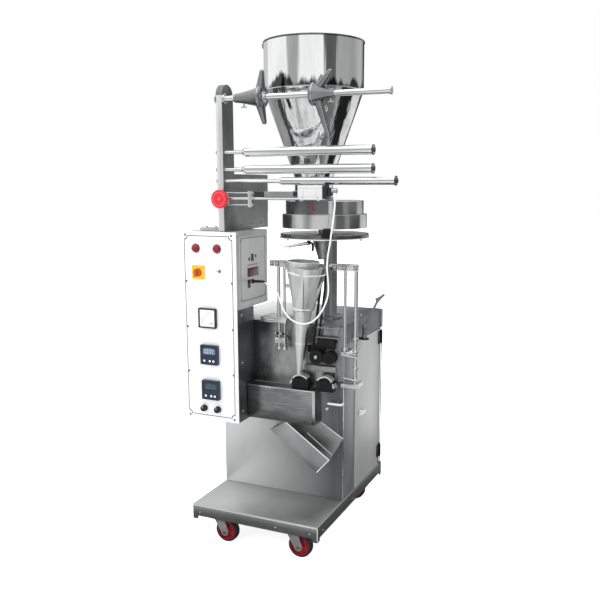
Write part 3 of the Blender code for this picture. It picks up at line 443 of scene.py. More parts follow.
def hex_head(origin, axis, across=0.01, height=0.004):
    """A hexagon bolt head with a washer."""
    radius = across / 2 / math.cos(math.radians(30))
    turn([(0, 0.0008), (radius * 1.25, 0.0008), (radius * 1.25, 0), (0, 0)], origin, axis, 28)
    lifted = Vector(origin) + Vector(axis) * 0.0008
    turn([(0, height), (radius * 0.86, height), (radius, height * 0.8), (radius, 0), (0, 0)], lifted,
        axis, 6)


def pan_head(origin, axis, radius=0.0035):
    """A domed screw head with a round socket."""
    profile = [(0, radius * 0.25), (radius * 0.38, radius * 0.25), (radius * 0.42, radius * 0.62),
        (radius * 0.75, radius * 0.48), (radius, radius * 0.12), (radius, 0), (0, 0)]
    turn(profile, origin, axis, 20)


def plate(outline, holes, low, high, place=lambda a, b, s: (a, b, s)):
    """A flat plate with round or shaped holes; place puts (a, b, s) in the frame's axes."""
    made = bmesh.new()
    edges = []
    for loop in [outline] + list(holes):
        points = [made.verts.new(place(a, b, low)) for a, b in loop]
        edges += [made.edges.new(pair) for pair in zip(points, points[1:] + points[:1])]
    bmesh.ops.triangle_fill(made, edges=edges, use_beauty=True)
    bmesh.ops.dissolve_limit(made, angle_limit=0.01, verts=made.verts, edges=made.edges)
    grown = bmesh.ops.extrude_face_region(made, geom=list(made.faces))["geom"]
    moved = [item for item in grown if isinstance(item, bmesh.types.BMVert)]
    bmesh.ops.translate(made, verts=moved, vec=Vector(place(0, 0, high)) - Vector(place(0, 0, low)))
    bmesh.ops.recalc_face_normals(made, faces=made.faces)
    absorb(made)


def arc(centre, radius, start, end, steps, rise=None):
    """Points along an arc between two angles in degrees; rise is an ellipse's second radius."""
    angles = [math.radians(start + (end - start) * i / steps) for i in range(steps + 1)]
    return [(centre[0] + radius * math.cos(a), centre[1] + (rise or radius) * math.sin(a)) for a in
        angles]


def circle(centre, radius, count=64):
    """Outline of a circle."""
    return arc(centre, radius, 0, 360, count)[:-1]


def rounded(x, z, radius, steps=6):
    """Outline of a rounded rectangle."""
    points = []
    for cx, cz, start in ((x[1] - radius, z[1] - radius, 0), (x[0] + radius, z[1] - radius, 90),
        (x[0] + radius, z[0] + radius, 180), (x[1] - radius, z[0] + radius, 270)):
        points += arc((cx, cz), radius, start, start + 90, steps)
    return points


ON_FRONT = lambda a, b, s: (a, s, b)      # a is X, b is Z, s is Y
ON_SIDE = lambda a, b, s: (s, a, b)       # a is Y, b is Z, s is X


def refine(solid, width=0.001, segments=2):
    """Copy a CAD node's shape and round its sharp edges."""
    made = bmesh.new()
    made.from_mesh(frame["nodes"][solid].data)
    bmesh.ops.remove_doubles(made, verts=made.verts, dist=0.00002)
    bmesh.ops.dissolve_limit(made, angle_limit=math.radians(1), verts=made.verts, edges=made.edges)
    sharp = [edge for edge in made.edges if len(edge.link_faces) == 2 and edge.calc_face_angle(0) >
        math.radians(32)]
    bevel(made, sharp, width, segments)
    absorb(made)


def refined(name, node_name, look_name, width=0.001):
    """A piece that is a CAD node with its sharp edges rounded."""
    refine(node_name, width)
    piece(name, look_name, node_name)


def middle(solid):
    low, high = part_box(solid)
    return (low + high) / 2


def back_middle(solid):
    """The middle of a node's rear face, where it meets the panel."""
    centre = middle(solid)
    centre.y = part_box(solid)[1].y
    return centre


def upright(solid):
    """The foot of the vertical axis through a node's middle."""
    centre = middle(solid)
    centre.z = 0
    return centre


# ---------------------------------------------------------------- tray and casters
def tray():
    """The tray, bright strips along its folded top edges and down its front right corner that are a
    painted highlight, and its screws.
    """
    refined("tray_pan", "base_tray", "tray_sheet", 0.0016)
    low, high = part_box("base_tray")
    lip = 0.0022
    # thin bright strips at the top of the front and back faces and down the front right corner: a painted
    # highlight
    for y in (low.y - 0.0006, high.y):
        block((low.x + 0.001, high.x - 0.001), (y, y + 0.0006), (high.z - lip - 0.003, high.z - 0.003),
            0.0002)
    block((high.x - 0.0018, high.x + 0.0004), (low.y - 0.0004, low.y + 0.0018),
        (low.z + 0.004, high.z - 0.004), 0.0003)
    piece("tray_edge_highlight", "satin_bright")
    for x in (low.x + 0.03, low.x + 0.335, high.x - 0.03):
        pan_head((x, low.y, 0.104), FRONT, 0.0032)
        pan_head((x, high.y, 0.104), -FRONT, 0.0032)
    for y in (low.y + 0.05, 0.0, high.y - 0.05):
        pan_head((high.x, y, 0.104), RIGHT, 0.0032)
        pan_head((low.x, y, 0.104), -RIGHT, 0.0032)
    piece("tray_screws", "bright")


def caster(name):
    """Pressed fork with a swivel race and nuts, and a moulded wheel with a dark tread."""
    low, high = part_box(name + "_fork")
    axle = middle(name + "_wheel")
    pivot = Vector((axle.x - 0.035, axle.y, 0))
    refine(name + "_fork", 0.0008)
    top = high.z
    turn([(0.0262, top), (0.0272, top - 0.002), (0.0272, top - 0.0065), (0.023, top - 0.0105),
        (0.012, top - 0.0125), (0.0, top - 0.0125)], pivot, UP, 48)
    cheek = [(pivot.x - 0.025, top - 0.0085), (pivot.x + 0.025, top - 0.0085),
        (axle.x + 0.015, axle.z + 0.006), (axle.x + 0.0105, axle.z - 0.0105), (axle.x, axle.z - 0.0145),
        (axle.x - 0.0105, axle.z - 0.0105), (axle.x - 0.015, axle.z - 0.001)]
    plate(cheek, [], low.y - 0.0003, low.y + 0.0022, ON_FRONT)
    plate(cheek, [], high.y - 0.0022, high.y + 0.0003, ON_FRONT)
    piece(name + "_fork_press", "fork_steel", name + "_fork")
    hex_head((axle.x, low.y + 0.0028, axle.z), FRONT, 0.013, 0.0045)
    hex_head((axle.x, high.y - 0.0028, axle.z), -FRONT, 0.013, 0.0045)
    hex_head((pivot.x, axle.y, top - 0.0125), DOWN, 0.014, 0.0045)
    piece(name + "_nuts", "dull_steel", body=NODE_BODY[name + "_fork"])
    low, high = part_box(name + "_wheel")
    half = (high.y - low.y) / 2
    r = (high.z - low.z) / 2
    web = half - 0.006
    rim = r - 0.0088
    tube(mirrored([(rim, half - 0.0006), (rim - 0.003, half - 0.0004), (rim - 0.0052, web),
        (0.0165, web + 0.0005), (0.015, half - 0.001), (0.011, half), (0.0056, half)]), axle, -FRONT, 72)
    for degrees in range(0, 360, 60):
        place = axle + spoke(degrees, 0.0225)
        block(span(place.x, 0.0068), span(place.y, web + 0.0022), span(place.z, 0.0014), 0.0006,
            Matrix.Rotation(math.radians(-degrees), 4, "Y"))
    piece(name + "_wheel_core", "wheel_red", name + "_wheel")
    tube(mirrored([(rim + 0.0002, half - 0.0004), (rim + 0.0016, half), (r - 0.0034, half - 0.0008),
        (r - 0.001, half - 0.0036), (r, half - 0.008)]), axle, -FRONT, 96)
    piece(name + "_tread", "tyre_dark", body=NODE_BODY[name + "_wheel"])


# ---------------------------------------------------------------- cabinet
def cabinet():
    """The cabinet, painted light at the left and dark at the right as reflection and shade, with its
    splash plate, side strip, corner bead, louvres and screws.
    """
    # the cabinet's sheet darkens from left to right: painted reflection and painted shade
    refined("cabinet_body", "cabinet_shell", "cabinet_sheet", 0.0014)
    low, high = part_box("cabinet_shell")
    door_low, door_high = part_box("side_door")
    front = low.y
    # the upper front plate's dark mottling and ragged dark left part are a painted reflection
    block((low.x + 0.004, high.x - 0.018), (front - 0.0008, front), (0.556, high.z - 0.004), 0.0003)
    piece("cabinet_splash_plate", "cabinet_upper")
    block((high.x, high.x + 0.0008), (low.y + 0.002, door_low.y - 0.002), (low.z + 0.003, high.z - 0.072),
        0.0002)
    piece("cabinet_side_strip", "side_strip")
    block((high.x - 0.0014, high.x + 0.0012), (front - 0.0012, front + 0.0016),
        (low.z + 0.002, high.z - 0.001), 0.0004)
    piece("cabinet_corner_bead", "bright")
    block((high.x - 0.004, high.x + 0.0075), (high.y - 0.004, high.y + 0.0012),
        (door_high.z + 0.004, high.z - 0.001), 0.0006)
    piece("cabinet_rear_flange", "door_sheet")
    rows = 9
    for column in (-0.16, -0.03, 0.1):
        for row in range(rows):
            z = 0.43 + row * 0.022
            block(span(column, 0.045), (high.y, high.y + 0.0035), span(z, 0.0035), 0.0014)
    piece("cabinet_rear_louvres", "sheet")
    for x in (low.x + 0.015, (low.x + high.x) / 2, high.x - 0.015):
        for z in (low.z + 0.02, (low.z + high.z) / 2, high.z - 0.02):
            pan_head((x, high.y, z), -FRONT, 0.004)
    for z in (0.6, 0.7, 0.755):
        pan_head((high.x - 0.028, front - 0.0008, z), FRONT, 0.003)
    for x in (0.02, 0.17):
        pan_head((x, front, 0.51), FRONT, 0.003)
    for y in (0.13, 0.28):
        pan_head((high.x - 0.02, y, high.z), UP, 0.004)
        pan_head((low.x + 0.02, y, high.z), UP, 0.004)
    piece("cabinet_screws", "bright")


HINGE_HEIGHTS = (0.199, 0.676)


def hinge_leaves(x, y, screw_y, screw_radius):
    """A leaf at each of the door's two hinges, with its screws."""
    for z in HINGE_HEIGHTS:
        block(x, y, span(z, 0.026), 0.0008)
        for dz in (-0.015, 0.015):
            pan_head((x[1], screw_y, z + dz), RIGHT, screw_radius)


def door():
    """The side door, its hinges and its latch."""
    low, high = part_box("side_door")
    refine("side_door", 0.0008)
    edge = 0.01
    for y in (low.y + edge, high.y - edge - 0.0015):
        block((high.x - 0.0002, high.x + 0.0003), (y, y + 0.0015), (low.z + edge, high.z - edge), 0)
    piece("door_panel", "door_sheet", "side_door")
    pin = middle("door_hinge_pin").y
    hinge_leaves((high.x + 0.0003, high.x + 0.0036), (pin - 0.025, pin - 0.0052), pin - 0.017, 0.0028)
    piece("door_hinge_leaves", "knob_black", body=NODE_BODY["side_door"])
    refine("door_hinge_pin", 0.0005)
    hinge_leaves((0.1904, 0.195), (pin + 0.005, pin + 0.016), pin + 0.0105, 0.0026)
    piece("door_hinge_barrels", "knob_black", "door_hinge_pin")
    low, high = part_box("door_latch")
    centre = Vector((low.x, 0.07, 0.424))
    turn([(0, 0.014), (0.007, 0.014), (0.0085, 0.0125), (0.0092, 0.006), (0.0098, 0.005), (0.01, 0.0),
        (0, 0)], centre, RIGHT, 48)
    block((centre.x + 0.006, centre.x + 0.0118), (low.y, high.y), span(centre.z, 0.005), 0.0022)
    piece("door_latch_handle", "satin_bright", "door_latch")


def clutch():
    """The clutch lever in its cup, on its bracket."""
    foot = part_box("clutch_lever")[0].z
    x, y = 0.2135, 0.05
    turn([(0, 0.0515), (0.006, 0.0515), (0.0088, 0.0485), (0.009, 0.04), (0.008, 0.0385), (0.008, 0.012),
        (0.009, 0.0105), (0.009, 0.0003), (0, 0.0003)], (x, y, foot), UP, 48)
    rod((x, y, 0.762), (0.266, y, 0.868), 0.0046)
    rod((0.258, y, 0.86), (0.288, y, 0.886), 0.0072, 0.004, 0.001)
    rod((0.2655, y, 0.856), (0.2585, y, 0.872), 0.0066, 0.0066, 0.001)
    pan_head((x, y - 0.0088, foot + 0.044), FRONT, 0.0032)
    piece("clutch_handle", "dull_steel", "clutch_lever")
    block((0.1903, 0.215), span(y, 0.014), (foot - 0.005, foot - 0.0004), 0.0012)
    turn([(0, -0.0004), (0.0165, -0.0004), (0.0175, -0.0014), (0.0175, -0.005), (0, -0.005)],
        (x, y, foot), UP, 56)
    piece("clutch_bracket", "knob_black")


# ---------------------------------------------------------------- control box
def control_box():
    """The housing, and its white panel with a thin outline that is notched at the corners."""
    refined("control_case", "control_housing", "housing_sheet", 0.0014)
    refined("control_fascia", "control_panel", "panel_white", 0.0011)
    low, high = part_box("control_panel")
    left, right = low.x + 0.0145, high.x - 0.0145
    bottom, top = low.z + 0.016, high.z - 0.014
    notch = 0.013
    line = []
    for x, z, start in ((right, top, 270), (left, top, 0), (left, bottom, 90), (right, bottom, 180)):
        line += arc((x, z), notch, start, start - 90, 6)
    width = 0.0026
    inner = [(x - math.copysign(width, x - (left + right) / 2),
        z - math.copysign(width, z - (bottom + top) / 2)) for x, z in line]
    plate(line, [inner], low.y - 0.00025, low.y + 0.0001, ON_FRONT)
    piece("fascia_outline", "outline_grey")
    rows, highest, lowest = 5, 1.1005, 0.432
    for x in (-0.3747, -0.1859):
        for i in range(rows):
            pan_head((x, low.y, highest + (lowest - highest) * i / (rows - 1)), FRONT, 0.0044)
    piece("fascia_screws", "dull_steel")


def lamps():
    """Two domed pilot lamps with eight-sided rims."""
    for side in SIDES:
        solid = "pilot_lamp_" + side
        centre = back_middle(solid)
        turn([(0, 0.015), (0.004, 0.0147), (0.008, 0.0135), (0.011, 0.0114), (0.013, 0.0092),
            (0.0141, 0.0066), (0.0145, 0.0045), (0, 0.0045)], centre, FRONT, 64)
        piece(f"lamp_lens_{side}", "lamp_red", solid)
        tube([(0.0136, 0.0052), (0.0156, 0.005), (0.0165, 0.0038), (0.0165, 0), (0.0136, 0)], centre,
            FRONT, 8)
        piece(f"lamp_bezel_{side}", "lamp_rim")


def isolator():
    """Yellow plate and orange knob with a raised grip."""
    low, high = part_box("main_switch_plate")
    plate(rounded((low.x, high.x), (low.z, high.z), 0.004), [], high.y, low.y, ON_FRONT)
    piece("isolator_plate", "switch_yellow", "main_switch_plate")
    solid = "main_switch_knob"
    axis = back_middle(solid)
    turn([(0, 0.0118), (0.0128, 0.0118), (0.0144, 0.0105), (0.015, 0.008), (0.015, 0.0), (0, 0)], axis,
        FRONT, 64)
    block(span(axis.x, 0.0044), (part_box(solid)[0].y, axis.y - 0.01), span(axis.z, 0.0138), 0.0018)
    piece("isolator_knob", "switch_orange", solid)
    for degrees in (45, 135, 225, 315):
        pan_head(axis + FRONT * 0.0001 + spoke(degrees, 0.0265), FRONT, 0.0018)
    piece("isolator_screws", "dull_steel")


def toggle():
    """Toggle switch with its nut and bush."""
    pivot = back_middle("toggle_lever")
    pivot.z = 0.974
    tip = pivot + Vector((0, -0.0155, 0.0016))
    rod(pivot, tip, 0.0017, 0.0023, 0.0003, 24)
    bmesh.ops.create_uvsphere(hand, u_segments=24, v_segments=12, radius=0.0025,
        matrix=Matrix.Translation(tip))
    piece("toggle_bat", "bright", "toggle_lever")
    foot = (pivot.x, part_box("control_panel")[0].y, pivot.z)
    tube([(0.0032, 0.0019), (0.006, 0.0019), (0.0068, 0.0012), (0.0068, 0), (0.0032, 0)], foot, FRONT, 6)
    tube([(0.0022, 0.0042), (0.0034, 0.0042), (0.0038, 0.0036), (0.0038, 0), (0.0022, 0)], foot, FRONT,
        32)
    piece("toggle_bush", "dull_steel")


def speed_knobs():
    """Ribbed knobs with a white mark, each in the middle of a plain scale."""
    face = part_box("control_panel")[0].y
    for side in SIDES:
        solid = "speed_knob_" + side
        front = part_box(solid)[0].y
        centre = back_middle(solid)
        turn([(0, 0.0166), (0.008, 0.017), (0.0092, 0.0166), (0.0098, 0.0156), (0.0104, 0.0032),
            (0.0125, 0.0018), (0.0125, 0), (0, 0)], centre, FRONT, 64)
        for degrees in range(0, 360, 15):
            rib = centre + spoke(degrees, 0.0102)
            rod(rib + FRONT * 0.003, rib + FRONT * 0.0155, 0.0008, 0.0006, 0.0001, 6)
        piece(f"speed_dial_{side}", "knob_black", solid)
        block(span(centre.x, 0.0006), (front - 0.0002, front + 0.0004),
            (centre.z + 0.002, centre.z + 0.009), 0.0002)
        piece(f"speed_dial_mark_{side}", "key_white", body=NODE_BODY[solid])
        centre.y = face - 0.0001
        for degrees in range(-60, 241, 30):
            rod(centre + spoke(degrees, 0.015), centre + spoke(degrees, 0.018), 0.0003, None, 0.0001, 6)
        piece(f"speed_scale_{side}", "outline_grey")


def ammeter():
    """Moving-iron meter: dark bezel, white dial with a plain scale, and a needle."""
    low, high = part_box("ammeter")
    x, _, z = middle("ammeter")
    half = (high.x - low.x) / 2
    inside = half - 0.0048
    window = rounded(span(x, inside), span(z, inside), 0.0015)
    plate(rounded(span(x, half), span(z, half), 0.003), [window], high.y, low.y, ON_FRONT)
    block(span(x, half - 0.001), (high.y - 0.003, high.y), span(z, half - 0.001), 0.0005)
    piece("meter_case", "case_black", "ammeter")
    dial = low.y + 0.003
    block(span(x, inside), (dial, dial + 0.001), span(z, inside), 0)
    piece("meter_dial", "dial_white")
    pivot = Vector((x + 0.019, dial - 0.0004, z - 0.021))
    first, last, step = 95, 175, 4
    for i, degrees in enumerate(range(first, last + 1, step)):
        outer = 0.0425 if i % 5 else 0.045
        rod(pivot + spoke(degrees, 0.04), pivot + spoke(degrees, outer), 0.00035, None, 0.0001, 6)
    for degrees in range(first, last, step):
        rod(pivot + spoke(degrees, 0.0395), pivot + spoke(degrees + step, 0.0395), 0.00025, None, 0.00005,
            6)
    rod(pivot, pivot + spoke(168, 0.042), 0.0005, 0.0002, 0.0001, 8)
    for dx in (-0.0045, 0.001):
        screw = Vector((pivot.x + dx, dial, pivot.z + 0.002))
        rod(screw - FRONT * 0.0002, screw + FRONT * 0.0012, 0.0022, None, 0.0003, 20)
    piece("meter_scale", "dial_mark")


def controllers():
    """Two temperature controllers: arched bezel, lit display with plain bars, and round keys."""
    for level, display, digits in (("upper", "display_blue", "key_white"),
        ("lower", "display_teal", "display_blue")):
        solid = "temperature_controller_" + level
        low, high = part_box(solid)
        x, _, z = middle(solid)
        face = low.y
        half = (high.x - low.x) / 2
        outer = rounded(span(x, half), span(z, half), 0.003)
        arch = [(x - 0.027, z + 0.001), (x + 0.027, z + 0.001)] + arc((x, z + 0.02), 0.027, 0, 180, 18,
            0.0065)
        plate(outer, [arch], face + 0.0035, face, ON_FRONT)
        plate(outer, [], high.y, face + 0.0034, ON_FRONT)
        piece(f"controller_case_{level}", "case_navy", solid)
        block(span(x, 0.0262), (face + 0.0022, face + 0.0036), (z + 0.0018, z + 0.0255), 0)
        piece(f"controller_display_{level}", display)
        for dx in (-0.019, 0.004, 0.019):
            turn([(0, 0.0012), (0.0034, 0.0011), (0.0042, 0.0004), (0.0042, -0.0005), (0, -0.0005)],
                (x + dx, face, z - 0.0215), FRONT, 32)
        piece(f"controller_keys_{level}", "key_white")
        for height, size in ((0.018, 0.0055), (0.0085, 0.0045)):
            for i in range(4):
                for dz in (-size / 2, 0.0, size / 2):
                    block(span(x - 0.015 + 0.01 * i, 0.0022), (face + 0.0018, face + 0.0024),
                        span(z + height + dz, 0.0004), 0)
        piece(f"controller_segments_{level}", digits)


def counter():
    """Film mark counter: membrane plate with an outline, a display, keys and the cord's gland."""
    low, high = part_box("counter_plate")
    face = low.x + 0.002
    plate(rounded((low.y, high.y), (low.z, high.z), 0.002), [], low.x, face, ON_SIDE)
    piece("counter_membrane", "counter_grey", "counter_plate")
    outer, inner = (rounded((low.y + margin, high.y - margin), (low.z + margin, high.z - margin), radius,
        2) for margin, radius in ((0.006, 0.002), (0.0084, 0.001)))
    plate(outer, [inner], face - 0.0001, face + 0.0003, ON_SIDE)
    for y in (low.y + 0.012, high.y - 0.012):
        for z in (low.z + 0.014, high.z - 0.014):
            pan_head((face, y, z), RIGHT, 0.0024)
    piece("counter_outline", "outline_grey")
    block((face - 0.0002, face + 0.0012), (-0.144, -0.063), (0.9475, 0.98), 0.0005)
    piece("counter_display", "display_red")
    for y, z, width, height in ((-0.13, 1.012, 0.012, 0.012), (-0.106, 1.016, 0.02, 0.026),
        (-0.08, 1.02, 0.01, 0.01), (-0.133, 0.923, 0.022, 0.03)):
        block((face - 0.0001, face + 0.0006), span(y, width / 2), span(z, height / 2), 0.0003)
    for i in range(6):
        block((face - 0.0001, face + 0.0003), span(-0.138 + i * 0.013, 0.004), (0.988, 0.992), 0)
    piece("counter_keys", "key_dark")
    x, y, z = CORD_ROUTE[0]
    turn([(0, 0.004), (0.008, 0.004), (0.009, 0.0032), (0.009, 0), (0, 0)], (face, y, z), RIGHT, 6)
    turn([(0.0028, x - face), (0.0042, x - face), (0.0056, 0.01), (0.0064, 0.006), (0.0064, 0.0036),
        (0, 0.0036)], (face, y, z), RIGHT, 48)
    piece("cord_gland_nut", "knob_black")
    sleeve(smooth_path(CORD_ROUTE, 6)[1:19], 0.0056, 0.0037)
    piece("cord_strain_relief", "knob_black")


def housing_details():
    """The housing's lower side sheet, its screws, the mains gland and the column's foot bracket."""
    low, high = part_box("control_housing")
    side = high.x + 0.0006
    block((high.x - 0.0004, side), (low.y + 0.0004, -0.099), (low.z + 0.001, 0.8365), 0.0002)
    piece("housing_side_sheet", "housing_dark")
    for y, z in ((-0.19, 0.815), (-0.19, 0.64), (-0.19, 0.46)):
        pan_head((side, y, z), RIGHT, 0.0042)
    for y, z in ((-0.209, 1.098), (0.008, 1.098), (0.008, 0.85)):
        pan_head((side, y, z), RIGHT, 0.0026)
    piece("housing_screws", "bright")
    body_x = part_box("control_panel")[0].x + 0.0015
    ring((body_x, -0.16, 0.5), -RIGHT, 0.006, 0.0118, 0.009, 0.001)
    tube([(0.011, 0.0045), (0.015, 0.0045), (0.0165, 0.0035), (0.0165, 0), (0.011, 0)],
        (body_x, -0.16, 0.5), -RIGHT, 6)
    piece("mains_gland_nut", "knob_black")
    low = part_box("column")[0]
    foot = low.z
    block((low.x - 0.096, low.x), (-0.172, -0.128), (foot, foot + 0.012), 0.0012)
    block((low.x - 0.0045, low.x - 0.0003), (-0.172, -0.128), (foot, foot + 0.06), 0.0008)
    for x in (-0.078, -0.04):
        hex_head((low.x + x, -0.15, foot + 0.012), UP, 0.01, 0.004)
    hex_head((low.x - 0.0045, -0.15, foot + 0.042), -RIGHT, 0.01, 0.004)
    piece("column_foot_bracket", "fork_steel")


# ---------------------------------------------------------------- column, reel and rollers
def column():
    """The column, a pale strip on its front face that is a painted highlight, and the nuts and screws
    that hold it.
    """
    low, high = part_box("column")
    refine("column", 0.0012)
    piece("column_plate", "column_side", "column")
    # pale strip over the column's front face: painted highlight
    half = 0.0386
    block((low.x + 0.0008, high.x - 0.0008), (low.y - 0.0006, low.y + 0.0002),
        (low.z + 0.001, high.z - half), 0.0002)
    piece("column_front_highlight", "column_edge_highlight")
    for z, r in ((1.3863, 0.0105), (1.3275, 0.0105), (1.2885, 0.0105), (1.5655, 0.015)):
        hex_head((low.x - 0.0004, -0.188, z), -RIGHT, r * 1.5, 0.006)
        ring((low.x, -0.188, z), -RIGHT, 0.002, r + 0.003, 0.0018, 0.0004)
    piece("column_nuts", "bright")
    for y in (-0.08, 0.0, 0.08):
        pan_head((high.x, y, low.z + 0.02), RIGHT, 0.0045)
    piece("column_screws", "dull_steel")


def film_rollers():
    """Three polished tubes with dark caps."""
    for number, start, end, lip in ((1, -0.142, 0.323, 0.0012), (2, -0.142, 0.323, 0.0012),
        (3, -0.005, 0.4, 0.003)):
        solid = f"film_roller_{number}"
        low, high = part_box(solid)
        _, y, z = middle(solid)
        radius = (high.z - low.z) / 2
        turn([(0, end), (radius - 0.0012, end), (radius, end - 0.0012), (radius, start + 0.0012),
            (radius - 0.0012, start), (radius * 0.8, start), (radius * 0.74, start - 0.006),
            (0.007, start - 0.012), (0.007, low.x), (0, low.x)], (0, y, z), RIGHT, 72)
        piece(f"film_tube_{number}", "polished", solid)
        ring((end - 0.0045, y, z), RIGHT, radius - 0.002, radius + lip, 0.0045, 0.001)
        hex_head((end, y, z), RIGHT, 0.012, high.x - end - 0.001)
        piece(f"film_tube_cap_{number}", "rim_dark", body=NODE_BODY[solid])


def finger(start, end, radius, tip):
    """A tapered arm with a round tip."""
    along = Vector(end) - Vector(start)
    profile = [(0, along.length)] + arc((0, along.length - tip), tip, 75, 0, 5)
    turn(profile + [(radius, 0.004), (radius * 0.8, 0), (0, 0)], start, along.normalized(), 40)


def reel():
    """The reel shaft and its two winged cones, each with a collar and a wing screw."""
    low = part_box("reel_shaft")[0]
    axis = middle("reel_shaft")
    radius = 0.01
    end = 0.375
    turn([(0, end + 0.004), (0.013, end + 0.004), (0.014, end + 0.003), (0.014, end + 0.0008),
        (0.013, end), (radius, end), (radius, low.x), (0, low.x)], (0, axis.y, axis.z), RIGHT, 64)
    piece("reel_bar", "polished", "reel_shaft")
    ring((low.x, axis.y, axis.z), RIGHT, radius + 0.0002, 0.017, 0.0075, 0.001)
    piece("reel_bearing_boss", "bright")
    bore = radius + 0.0005
    y, z = axis.y, axis.z
    for side, left, right in (("left", -0.18, -0.07), ("right", 0.106, 0.185)):
        solid = "reel_cone_" + side
        body = NODE_BODY[solid]
        if side == "left":
            profile = [(bore, right), (0.0345, right), (0.036, right - 0.0015), (0.036, right - 0.009),
                (0.033, right - 0.015), (0.0262, right - 0.042), (0.02, right - 0.072),
                (0.0165, right - 0.092), (0.015, left + 0.004), (0.014, left), (bore, left)]
            wings = (((-0.083, 0.024), (-0.075, 0.0885)), ((-0.083, -0.024), (-0.067, -0.0895)))
        else:
            profile = [(bore, right), (0.0145, right), (0.0155, right - 0.0015), (0.017, right - 0.02),
                (0.0262, right - 0.048), (0.035, left + 0.0085), (0.036, left + 0.006),
                (0.036, left + 0.0012), (0.0348, left), (bore, left)]
            wings = (((0.13, 0.02), (0.175, 0.0745)), ((0.13, -0.02), (0.17, -0.1405)))
        tube(profile, (0, y, z), RIGHT, 80)
        for (foot_x, foot_z), (tip_x, tip_z) in wings:
            finger((foot_x, y, z + foot_z), (tip_x, y, z + tip_z), 0.0155, 0.0085)
        piece(f"core_cone_{side}", "wing_steel", solid)
        screw_x = left + 0.034 if side == "left" else right - 0.012
        reach = 0.02 if side == "left" else 0.015
        rod((screw_x, y, z - reach + 0.004), (screw_x, y, z - reach - 0.01), 0.003, None, 0.0004)
        finger((screw_x, y, z - reach - 0.009), (screw_x - 0.011, y, z - reach - 0.012), 0.003, 0.002)
        finger((screw_x, y, z - reach - 0.009), (screw_x + 0.011, y, z - reach - 0.012), 0.003, 0.002)
        piece(f"cone_wing_screw_{side}", "bright", body=body)
        face = right + 0.0001 if side == "left" else left - 0.0001
        way = RIGHT if side == "left" else -RIGHT
        ring((face, y, z), way, bore, 0.019, 0.0032, 0.0008)
        ring((face - way.x * 0.012, y, z), way, 0.0355, 0.0368, 0.003, 0.0006)
        piece(f"cone_collar_{side}", "bright", body=body)


def sensor_slide():
    """The slide rail for the mark sensor, and the red hand knob that moves it."""
    refined("sensor_rail_block", "sensor_rail", "bright", 0.0007)
    for z in (1.2075, 1.2482):
        hex_head((-0.105, -0.2105, z), RIGHT, 0.007, 0.0035)
    ring((-0.105, -0.2105, 1.229), RIGHT, 0.0046, 0.0085, 0.005, 0.0006)
    piece("sensor_rail_nuts", "bright")
    solid = "red_knob"
    body = NODE_BODY[solid]
    low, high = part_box(solid)
    centre = back_middle(solid)
    radius = (high.x - low.x) / 2
    turn([(0, 0.0175), (0.007, 0.0175), (0.008, 0.0185), (0.0185, 0.02), (0.0205, 0.0194),
        (0.022, 0.0176), (0.024, 0.0172), (0.0262, 0.0186), (radius - 0.0024, 0.0185),
        (radius - 0.0006, 0.0172), (radius, 0.015), (radius, 0.0065), (radius - 0.0012, 0.004),
        (radius - 0.0035, 0.003), (0.012, 0.003), (0.01, 0.002), (0.01, 0), (0, 0)], centre, FRONT, 96)
    for i in range(16):
        at = centre + spoke(22.5 * i, radius - 0.0008)
        rod(at + FRONT * 0.006, at + FRONT * 0.0165, 0.0016, 0.0012, 0.0004, 12)
    piece("hand_knob", "knob_red", solid)
    ring(centre + FRONT * 0.0176, FRONT, 0.0205, 0.025, 0.001, 0.0003)
    piece("hand_knob_ring", "knob_pale", body=body)
    hex_head(centre + FRONT * 0.0172, FRONT, 0.009, 0.0022)
    piece("hand_knob_nut", "knob_pale", body=body)


